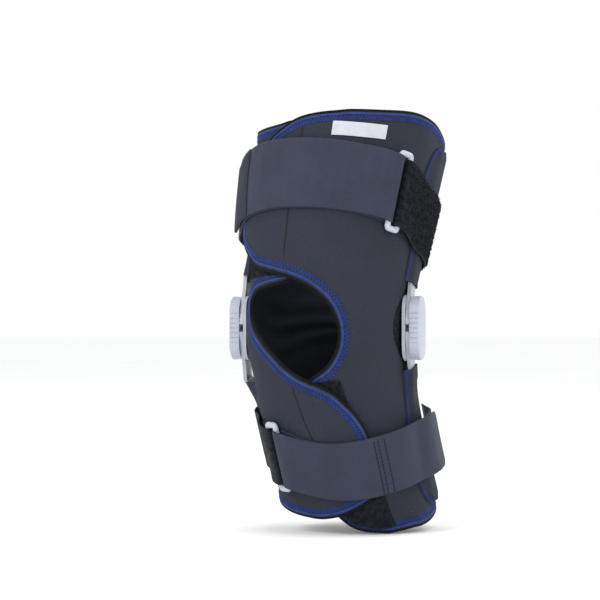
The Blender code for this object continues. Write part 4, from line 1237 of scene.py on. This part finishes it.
class BracePatches(bpy.types.Operator):
    """Make the pile on the front panels and the hook tape that closes onto it"""

    bl_idname = "brace.patches"
    bl_label = "Patches"

    def execute(self, context):
        sizes = context.scene.brace_sizes
        shifted_edge = tuple((height, angle + 0.8) for height, angle in RIGHT_EDGE)
        plans = {
            "thigh_wing_loop": (straight(-67, -67), straight(-8, -8), (0.0285, 0.130), 0, "loop"),
            "calf_wing_loop": (shifted_edge, ((-0.150, 40), (-0.028, 19.5)), (-0.1515, -0.0310),
                               -360, "loop"),
            "thigh_flap_hook": (straight(-32, -32), straight(-12, -12), (0.052, 0.126), 0, "hook"),
            "calf_flap_hook": (straight(6, 6), straight(20, 17), (-0.108, -0.052), -360, "hook"),
        }
        for node, (first, last, heights, turn, kind) in plans.items():
            angles = (first, last)
            segment = node.split("_")[0]
            low = WRAP + (0.0001 if kind == "loop" else PATCH + 2 * SOFT_FIT)
            depth = 0.0004 if kind == "loop" else PATCH - FIT
            base, angle, height, top = sheet_patch(node + "_tape", angles, heights, low, depth, turn)
            finish = loop_pile if kind == "loop" else hook_tape
            dress(base, finish, segment, [node])
            grid = on_leg(angle, height, top)
            if kind == "loop":
                loops = pile(node + "_loops", grid, sizes.pile_spacing, 0.0009, 11)
                dress(loops, loop_pile, segment)
        return {"FINISHED"}


class BracePads(bpy.types.Operator):
    """Make the pile pads in the windows behind the hinges"""

    bl_idname = "brace.pads"
    bl_label = "Hinge pads"

    def execute(self, context):
        sizes = context.scene.brace_sizes
        for side, sign in SIDES.items():
            for segment, way in SEGMENTS.items():
                part = "upper" if segment == "thigh" else "lower"
                height, share = np.meshgrid(np.linspace(0, 0.97, 34) * WINDOW_HALF_HEIGHT * way,
                                            np.linspace(-1, 1, 36), indexing="ij")
                parabola = (height / WINDOW_HALF_HEIGHT) ** 2
                angle = (92 + 13 * parabola + share * (WINDOW_HALF_ANGLE * (1 - parabola) - 0.4)) * sign
                low = WRAP - WINDOW_RECESS + 0.0001 + drape(angle, height)
                outer = on_leg(angle, height, low + 0.0004)
                pad = slab(f"hinge_pad_{side}_{part}", on_leg(angle, height, low), outer)
                stands_for = [f"hinge_pad_{side}"] if part == "upper" else []
                dress(pad, loop_pile, segment, stands_for)
                loops = pile(f"hinge_pad_{side}_{part}_loops", outer, sizes.pile_spacing, 0.0011, 21)
                dress(loops, loop_pile, segment)
        return {"FINISHED"}


# Straps


def strap_bed(angle_deg, height, segment):
    """The lift of what lies under a strap: the sleeve, its laps and the pockets."""
    bed = WRAP + outermost_lift(angle_deg, height) + drape(angle_deg, height)
    for side, sign in SIDES.items():
        off_arm = sign * angle_deg - ARM_ANGLE
        near = smoothstep((off_arm + 25) / 6) * smoothstep((25 - off_arm) / 6)
        rise, ends = pocket_rise(segment, side, angle_deg, height, 0.004)
        bed = bed + near * ends * (rise + POCKET + TOUCH)
    return bed


def strap_middle(strap, angle_deg):
    return through(strap["middle"], 1, angle_deg)


def ring_bed(segment):
    """The bed's lift under the ring."""
    strap = STRAPS[segment]
    height = np.array([strap_middle(strap, strap["ring"])])
    return float(strap_bed(np.array([float(strap["ring"])]), height, segment)[0])


def strap_section(across=30):
    """The outline of a strap's section as shares of its width and thickness: straight faces
    and edges that are half circles. The outer face's points come first."""
    round_share = 0.012
    flat = np.linspace(-0.5 + round_share, 0.5 - round_share, across)
    turns = np.linspace(pi / 2, -pi / 2, 7)[1:-1]
    edge = np.stack([0.5 - round_share + round_share * np.cos(turns), 0.5 * np.sin(turns)], -1)
    outer = np.stack([flat, np.full(across, 0.5)], -1)
    inner = np.stack([flat[::-1], np.full(across, -0.5)], -1)
    return np.concatenate([outer, edge, inner, -edge])


def blurred(values, count):
    """Values averaged along the first axis over a bell of neighbours."""
    weights = np.exp(-((np.arange(-3 * count, 3 * count + 1) / count) ** 2) / 2)
    weights /= weights.sum()
    padded = np.concatenate([values[:1]] * (3 * count) + [values] + [values[-1:]] * (3 * count))
    columns = padded.reshape(len(padded), -1).T
    averaged = np.stack([np.convolve(column, weights, "valid") for column in columns], -1)
    return averaged.reshape(values.shape)


def band(segment, path, section, width, corner=0.0):
    """A strap's skin: its section laid across a path of angles and lifts above the bed. The
    section's thickness is square to the path, also where the path folds round a ring bar. The
    corners of its last end are quarter circles of the corner's radius."""
    strap = STRAPS[segment]
    angle, lift, on_bed = np.array(path).T
    short = np.clip(corner - np.radians(np.abs(angle - angle[-1])) * 0.068, 0, corner)
    short = np.where(np.arange(len(angle)) > len(angle) - 60, short, 0)
    cut = corner - np.sqrt(np.maximum(corner**2 - short**2, 0))
    height = strap_middle(strap, angle)[:, None] + section[None, :, 0] * (width - 2 * cut)[:, None]
    angle_grid = np.broadcast_to(angle[:, None], height.shape)
    bed = blurred(strap_bed(angle_grid, height, segment), 3) + TOUCH
    on_bed = blurred(on_bed[:, None], 2)
    radius = leg_radius(np.radians(angle_grid), height) + lift[:, None]
    rise = lift[:, None] + bed * on_bed + (ring_bed(segment) + TOUCH) * (1 - on_bed)
    run = np.radians(angle_grid) * radius
    ahead = np.stack([np.gradient(run, axis=0), np.gradient(rise, axis=0)], -1)
    ahead /= np.linalg.norm(ahead, axis=-1, keepdims=True)
    out = np.stack([-ahead[..., 1], ahead[..., 0]], -1) * (section[None, :, 1:] * STRAP)
    return on_leg(angle_grid + np.degrees(out[..., 0] / radius), height, rise + out[..., 1])


def fold_path(bar_angle, bar_lift, towards, turn_radius, radius):
    """Half a turn round a ring bar, from under it to over it, bulging towards one side."""
    turns = np.linspace(-pi / 2, pi / 2, 15)
    step = degrees(turn_radius / radius)
    return [(bar_angle + towards * step * cos(a), bar_lift + turn_radius * sin(a), 0.0) for a in turns]


def ring_place(segment):
    """Lifts and angles of a strap's fold: the lift of a strap under the ring, the turn's radius,
    the bar's lift, the angles of the near bar and the far bar, and the leg's radius there."""
    strap = STRAPS[segment]
    middle = strap_middle(strap, strap["ring"])
    radius = float(leg_radius(np.radians(float(strap["ring"])), middle)) + WRAP + 0.006
    half_pitch = degrees(RING_PITCH / 2 / radius)
    under = TOUCH + STRAP / 2
    turn_radius = RING_BAR + TOUCH + STRAP / 2
    outwards = -strap["turn"]
    near_bar = strap["ring"] - outwards * half_pitch
    far_bar = strap["ring"] + outwards * half_pitch
    return under, turn_radius, under + turn_radius, near_bar, far_bar, radius


def strap_path(segment):
    """The strap's way: from its sewn end to the ring, round the near bar, and back over itself to
    its free end, which stands a little off."""
    strap = STRAPS[segment]
    outwards = -strap["turn"]
    under, turn_radius, bar_lift, near_bar, _, radius = ring_place(segment)
    over = bar_lift + turn_radius
    closed = under + STRAP + HOOK + 2 * TOUCH
    first = near_bar - outwards * 1.5
    coming = np.linspace(strap["sewn_end"], first, 150)
    going = first + (strap["free_end"] - first) * (1 - (1 - np.linspace(0, 1, 120)) ** 1.7)
    leaving = smoothstep(1 - np.abs(going - first) / 26)
    slack = strap["slack"] * smoothstep(1 - np.abs(going - strap["free_end"]) / 30) ** 1.5
    path = [(a, under, 1.0) for a in coming] + fold_path(near_bar, bar_lift, outwards, turn_radius, radius)
    return path + [(a, closed + (over - closed) * s + k, 1.0) for a, s, k in zip(going, leaving, slack)]


def tab_path(segment):
    """The tab's way: a short return under itself, round the far bar, and out to its sewn end."""
    strap = STRAPS[segment]
    outwards = -strap["turn"]
    under, turn_radius, bar_lift, _, far_bar, radius = ring_place(segment)
    over = bar_lift + turn_radius
    tab_over = under + STRAP + TOUCH
    second = far_bar + outwards * 1.5
    inside = np.linspace(second + outwards * 11, second, 14)
    outside = np.linspace(second, strap["tab_end"], 90)
    leaving = smoothstep(1 - np.abs(outside - second) / 22)
    path = [(a, under, 1.0) for a in inside] + fold_path(far_bar, bar_lift, -outwards, turn_radius, radius)
    return path + [(a, tab_over + (over - tab_over) * s, 1.0) for a, s in zip(outside, leaving)], len(path)


class BraceStraps(bpy.types.Operator):
    """Make the two straps with their hook ends and stitching, and the pile tabs of their rings"""

    bl_idname = "brace.straps"
    bl_label = "Straps"

    def execute(self, context):
        sizes = context.scene.brace_sizes
        section = strap_section()
        for segment, strap in STRAPS.items():
            body = "only_" + segment
            width = strap["width"]
            path = strap_path(segment)
            skin = band(segment, path, section, width, 0.006)
            piece = tube(f"{segment}_strap_cloth", skin)
            dress(piece, strap_cloth, body, [f"{segment}_strap"])
            stitches = self.strap_stitches(segment, skin, body)
            if segment == "thigh":
                stitches += self.end_facing(segment, path, width, body)
            hook = self.hook_end(segment, path, width, body)

            path, start = tab_path(segment)
            skin = band(segment, path, section, width)
            tab = tube(f"{segment}_tab_cloth", skin)
            dress(tab, loop_pile, body, [f"{segment}_ring_tab"])
            face = skin[start - 8:, : 30]
            loops = pile(f"{segment}_tab_loops", face, sizes.pile_spacing, sizes.pile_height, 31)
            dress(loops, loop_pile, body)
        return {"FINISHED"}

    @staticmethod
    def hook_end(segment, path, width, body):
        """Hook tape on the inner face of the free end."""
        last = [spot for spot in path[-120:] if 2 < abs(spot[0] - path[-1][0]) < 36]
        thin = [(a, lift - STRAP / 2 - HOOK / 2, on_bed) for a, lift, on_bed in last]
        section = strap_section() * [1, HOOK / STRAP]
        skin = band(segment, thin, section, width - 0.003, 0.006)
        hook = tube(f"{segment}_hook_end", skin)
        dress(hook, hook_tape, body, [f"{segment}_strap_hook"])
        return hook

    @staticmethod
    def end_facing(segment, path, width, body):
        """Neoprene that faces the free end, and the seam along its edge."""
        last = [(a, lift + STRAP / 2 + 0.0003, on_bed) for a, lift, on_bed in path[-120:] if a < -46]
        skin = band(segment, last, strap_section() * [1, 0.0007 / STRAP], width + 0.0003, 0.006)
        facing = tube(f"{segment}_strap_facing", skin)
        dress(facing, neoprene, body)
        line = skin[2, 1:29]
        out = line - skin[2, 36:64][::-1]
        out /= np.linalg.norm(out, axis=1, keepdims=True)
        seam = dashes(f"{segment}_strap_facing_seam", line, out, 0.0022, 0.0016, 0.00050)
        return [facing, dress(seam, seam_thread_and_crease_shade, body)]

    @staticmethod
    def strap_stitches(segment, skin, body):
        """Seams across a strap where its hook end is sewn on."""
        strap = STRAPS[segment]
        angles = [a for a, _, _ in strap_path(segment)]
        going = len(angles) - 120
        made = []
        wanted = (32.5, 36, 39.5) if segment == "calf" else ()
        for k, angle in enumerate(wanted):
            row = going + int(np.argmin(np.abs(np.array(angles[going:]) - angle)))
            line = skin[row, :30]
            out = line - skin[row, 35:65][::-1]
            out /= np.linalg.norm(out, axis=1, keepdims=True)
            name = f"{segment}_strap_seam_{k}"
            made.append(dashes(name, line + out * 0.00005, out, 0.0022, 0.0009, 0.00040))
            dress(made[-1], seam_thread_and_crease_shade, body)
        return made


class BraceRings(bpy.types.Operator):
    """Make the two rectangular rings"""

    bl_idname = "brace.rings"
    bl_label = "Rings"

    def execute(self, context):
        for segment, strap in STRAPS.items():
            ring = float(strap["ring"])
            middle = float(strap_middle(strap, ring))
            lift = ring_bed(segment) + TOUCH + ring_place(segment)[2]
            ends = on_leg(ring, middle + np.array([-0.5, 0.5]) * strap["width"], lift)
            centre = ends.mean(axis=0)
            sideways = on_leg(ring + np.array([-1, 1]), middle, lift)
            up = ends[1] - ends[0]
            up /= np.linalg.norm(up)
            out = np.cross(sideways[1] - sideways[0], up)
            out /= np.linalg.norm(out)
            across = np.cross(up, out)
            half_length = strap["width"] / 2 + FIT + RING_BAR + 0.0012
            half_width = RING_PITCH / 2
            turns = np.linspace(0, 2 * pi, 160, endpoint=False)
            bend = 0.16
            x = half_width * np.sign(np.cos(turns)) * np.abs(np.cos(turns)) ** bend
            y = half_length * np.sign(np.sin(turns)) * np.abs(np.sin(turns)) ** bend
            points = centre + x[:, None] * across + y[:, None] * up
            points = self.even_loop(points, 150)
            at_end = smoothstep((np.abs((points - centre) @ up) - half_length + 0.006) / 0.005)
            thick = RING_BAR * (1 + 0.16 * at_end)
            rings = sections(points, np.tile(out, (len(points), 1)), thick, RING_BAR, 14, closed=True)
            dress(tube(f"{segment}_ring_bar", rings, closed=True), grey_plastic,
                  "only_" + segment, [f"{segment}_ring"])
        return {"FINISHED"}

    @staticmethod
    def even_loop(points, count):
        """A closed path read again at even distances."""
        closed = np.concatenate([points, points[:1]])
        run = np.concatenate([[0], np.cumsum(np.linalg.norm(np.diff(closed, axis=0), axis=1))])
        at = np.linspace(0, run[-1], count, endpoint=False)
        return np.stack([np.interp(at, run, closed[:, i]) for i in range(3)], -1)


class BraceLabel(bpy.types.Operator):
    """Make the blank label and the thread at its two ends"""

    bl_idname = "brace.label"
    bl_label = "Label"

    def execute(self, context):
        across, up = np.meshgrid(np.linspace(0, 1, 60), np.linspace(-0.5, 0.5, 20), indexing="xy")
        angle = LABEL_ANGLES[0] + (LABEL_ANGLES[1] - LABEL_ANGLES[0]) * across
        middle = LABEL_MIDDLE[0] + (LABEL_MIDDLE[1] - LABEL_MIDDLE[0]) * across
        height = middle + up * LABEL_HEIGHT
        stand = 0.0006 * np.sin(across * pi) * (0.4 + 0.6 * (0.5 - up)) + 0.0002
        lift = WRAP + outermost_lift(angle, height) + drape(angle, height) + stand
        outer = on_leg(angle, height, lift + LABEL)
        label = slab("blank_label", on_leg(angle, height, lift), outer)
        dress(label, label_cloth, "only_thigh", ["label"])
        seams = []
        for k, column in enumerate((3, -4)):
            line = outer[:, column]
            out = outwards_at(angle[:, column], height[:, column])
            seams.append(dashes(f"label_seam_{k}", line, out, 0.0012, 0.0005, 0.00016))
            dress(seams[-1], label_cloth, "only_thigh")
        return {"FINISHED"}


class BraceSeams(bpy.types.Operator):
    """Make the plain seams that hold the hook tape inside each flap"""

    bl_idname = "brace.seams"
    bl_label = "Plain seams"

    def execute(self, context):
        lines = {
            "thigh_flap_seam_top": ("thigh", ((-11, 0.1355), (-11, 0.1260)), -360),
            "thigh_flap_seam": ("thigh", ((-15, 0.0760), (-16, 0.0400)), -360),
            "calf_flap_seam": ("calf", ((-1, -0.0350), (-12, -0.0305), (-11.5, -0.036), (-8.5, -0.0530),
                                        (-3, -0.0740)), 0),
        }
        for name, (segment, knots, turn) in lines.items():
            knots = np.array(knots)
            at = np.linspace(0, 1, 60)
            where = np.linspace(0, 1, len(knots))
            path = np.stack([np.interp(at, where, knots[:, 0]) + turn, np.interp(at, where, knots[:, 1])], -1)
            points, out = on_sheet(path, 0.00002)
            # Painted shade: a flat strip in the dark thread's colour under each seam stands for the shade in
            # its crease.
            groove = sections(points, out, 0.00060, 0.00014, 8)
            dress(tube(name + "_crease", groove), seam_thread_and_crease_shade, segment)
            dress(dashes(name, points, out, 0.0024, 0.0009, 0.00030), seam_thread_and_crease_shade, segment)
        return {"FINISHED"}


# Hinges


class BraceCovers(bpy.types.Operator):
    """Make the ridged covers of the hinges, and finish the hinge pieces of the frame"""

    bl_idname = "brace.covers"
    bl_label = "Hinge covers"

    def execute(self, context):
        ridges = context.scene.brace_sizes.ridges
        for side, sign in SIDES.items():
            skin = self.cover_skin(ridges)
            skin = skin * [sign, 1, 1]
            cover = tube(f"hinge_cover_{side}_shell", skin)
            dress(cover, grey_plastic, "links", [f"hinge_cover_{side}"])
        finishes = {"inner_plate": grey_plastic, "outer_plate": coated_metal, "upper_rivet": rivet_steel,
                    "lower_rivet": rivet_steel, "upper_arm": coated_metal, "lower_arm": coated_metal}
        for stem, finish in finishes.items():
            for side in SIDES:
                node = frame["nodes"][f"{stem}_{side}"]
                node.data.materials.clear()
                node.data.materials.append(finish())
        return {"FINISHED"}

    @staticmethod
    def cover_skin(ridges):
        """Rows of a shell, inside and then outside. A row is a slot shape: two half circles joined
        by straight sides. Its outside rows bulge from the base, round over an edge that is
        a quarter ellipse, and close on a slightly crowned face. The grooves are narrow bells
        pressed into the straight sides."""
        base, top = COVER_LOW[0], COVER_HIGH[0]
        depth = top - base
        half_width = COVER_HIGH[1]
        straight = COVER_HIGH[2] - half_width
        turns = np.linspace(0, pi, 25)
        upright = np.linspace(-straight, straight, 111)[1:-1]
        upper = np.stack([np.cos(turns), np.sin(turns), np.full(25, 1.0)], -1)
        left = np.stack([np.full(109, -1.0), np.zeros(109), upright[::-1] / straight], -1)
        lower = np.stack([-np.cos(turns), -np.sin(turns), np.full(25, -1.0)], -1)
        right = np.stack([np.full(109, 1.0), np.zeros(109), upright / straight], -1)
        outline = np.concatenate([upper, left, lower, right])
        pitch = 0.0038
        places = (np.arange(ridges) - (ridges - 1) / 2) * pitch
        z = outline[:, 2] * straight
        grooves = np.exp(-(((z[:, None] - places) / 0.00042) ** 4)).sum(axis=1)
        groove = grooves * (np.abs(outline[:, 1]) < 1e-6)
        edge = 0.0026
        wall = 0.0018
        inside = half_width - wall
        rows = [ring_row(outline, (inside - 0.001) * share, straight * (0.6 + 0.4 * share), top - wall)
                for share in (0.5, 1.0)]
        rows += [ring_row(outline, inside, straight, base + rise * depth) for rise in (0.7, 0.4, 0.0)]
        for rise in np.concatenate([np.linspace(0, 0.62, 12), np.linspace(0.64, 0.78, 8)]):
            pressed = 0.00055 * groove * smoothstep((0.76 - rise) / 0.06)
            bulged = half_width - 0.0003 * (1 - rise) - pressed
            rows.append(ring_row(outline, bulged, straight, base + rise * depth))
        turn = np.linspace(0, pi / 2, 12)[1:]
        shoulder = base + 0.78 * depth
        for a in turn:
            level = shoulder + (top - 0.0003 - shoulder) * sin(a)
            rows.append(ring_row(outline, half_width - edge * (1 - cos(a)), straight, level))
        for share in (0.75, 0.5):
            rows.append(ring_row(outline, (half_width - edge) * share, straight * (0.6 + 0.4 * share),
                                 top - 0.0003 + 0.0003 * (1 - share)))
        return np.stack(rows)


def ring_row(outline, half_width, straight, level):
    """One slot-shaped row at a distance from the middle plane."""
    y = outline[:, 0] * half_width
    z = outline[:, 1] * half_width + outline[:, 2] * straight
    return np.stack([np.full(len(y), level), y, z], -1)


# Stage


class BraceStage(bpy.types.Operator):
    """Make the floor, the lights and the camera"""

    bl_idname = "brace.stage"
    bl_label = "Stage"

    def execute(self, context):
        level = min(CAD_BOX[0][2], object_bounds()[0][2]) - 0.0005
        radius, turn = np.meshgrid(np.linspace(0.02, 40, 60), np.linspace(0, 2 * pi, 97), indexing="ij")
        points = np.stack([radius * np.cos(turn), radius * np.sin(turn), np.full_like(radius, level)], -1)
        index = np.arange(radius.size).reshape(radius.shape)
        floor = new_mesh_object("floor", points, quads_of(index)[:, ::-1].tolist() + [index[0, :-1].tolist()])
        floor.data.materials.append(studio_floor())
        floor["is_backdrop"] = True
        scene = context.scene
        for name, place, size, power in (
            ("key_light", (-1.5, -2.2, 1.7), 1.5, 26),
            ("fill_light", (2.2, -1.9, 0.9), 1.8, 12),
            ("top_light", (0.2, -0.3, 2.6), 2.0, 16),
            ("back_light", (1.2, 1.9, 1.6), 1.2, 12),
        ):
            lamp = bpy.data.lights.new(name, "AREA")
            lamp.shape = "DISK"
            lamp.size = size
            lamp.energy = power
            item = bpy.data.objects.new(name, lamp)
            scene.collection.objects.link(item)
            item.location = place
            item.rotation_euler = (Vector((0, 0, 0)) - Vector(place)).to_track_quat("-Z", "Y").to_euler()
        world = bpy.data.worlds.new("studio")
        world.use_nodes = True
        world.node_tree.nodes["Background"].inputs[0].default_value = (1.0, 1.0, 1.0, 1)
        world.node_tree.nodes["Background"].inputs[1].default_value = 1.00
        scene.world = world
        scene.view_settings.view_transform = "Standard"
        self.add_camera(scene)
        return {"FINISHED"}

    @staticmethod
    def add_camera(scene):
        """A camera level with the knee, a little to the wearer's left."""
        azimuth = radians(14)
        distance = 1.8
        camera = bpy.data.cameras.new("camera")
        camera.sensor_width = 36
        camera.lens = 137.6
        camera.shift_x = -0.045
        camera.shift_y = 0.0467
        item = bpy.data.objects.new("camera", camera)
        scene.collection.objects.link(item)
        item.location = (sin(azimuth) * distance, -cos(azimuth) * distance, 0)
        item.rotation_euler = (pi / 2, 0, azimuth)
        scene.camera = item


OPERATORS = (BraceSleeve, BraceEdges, BracePockets, BracePatches, BracePads, BraceStraps, BraceRings,
             BraceLabel, BraceSeams, BraceCovers, BraceStage)


class BracePanel(bpy.types.Panel):
    """Lists the sizes, the colours and the pieces"""

    bl_idname = "VIEW3D_PT_brace"
    bl_label = "Knee brace"
    bl_space_type = "VIEW_3D"
    bl_region_type = "UI"
    bl_category = "Brace"

    def draw(self, context):
        for settings in (context.scene.brace_sizes, context.scene.brace_colours):
            box = self.layout.box()
            for key in settings.__annotations__:
                box.prop(settings, key)
        column = self.layout.column()
        for operator in OPERATORS:
            column.operator(operator.bl_idname)


CLASSES = (BraceSizes, BraceColours, *OPERATORS, BracePanel)


def register():
    for item in CLASSES:
        bpy.utils.register_class(item)
    bpy.types.Scene.brace_sizes = bpy.props.PointerProperty(type=BraceSizes)
    bpy.types.Scene.brace_colours = bpy.props.PointerProperty(type=BraceColours)


def unregister():
    del bpy.types.Scene.brace_colours
    del bpy.types.Scene.brace_sizes
    for item in reversed(CLASSES):
        bpy.utils.unregister_class(item)


def main():
    register()
    for operator in OPERATORS:
        group, name = operator.bl_idname.split(".")
        getattr(getattr(bpy.ops, group), name)()


if __name__ == "__main__":
    main()
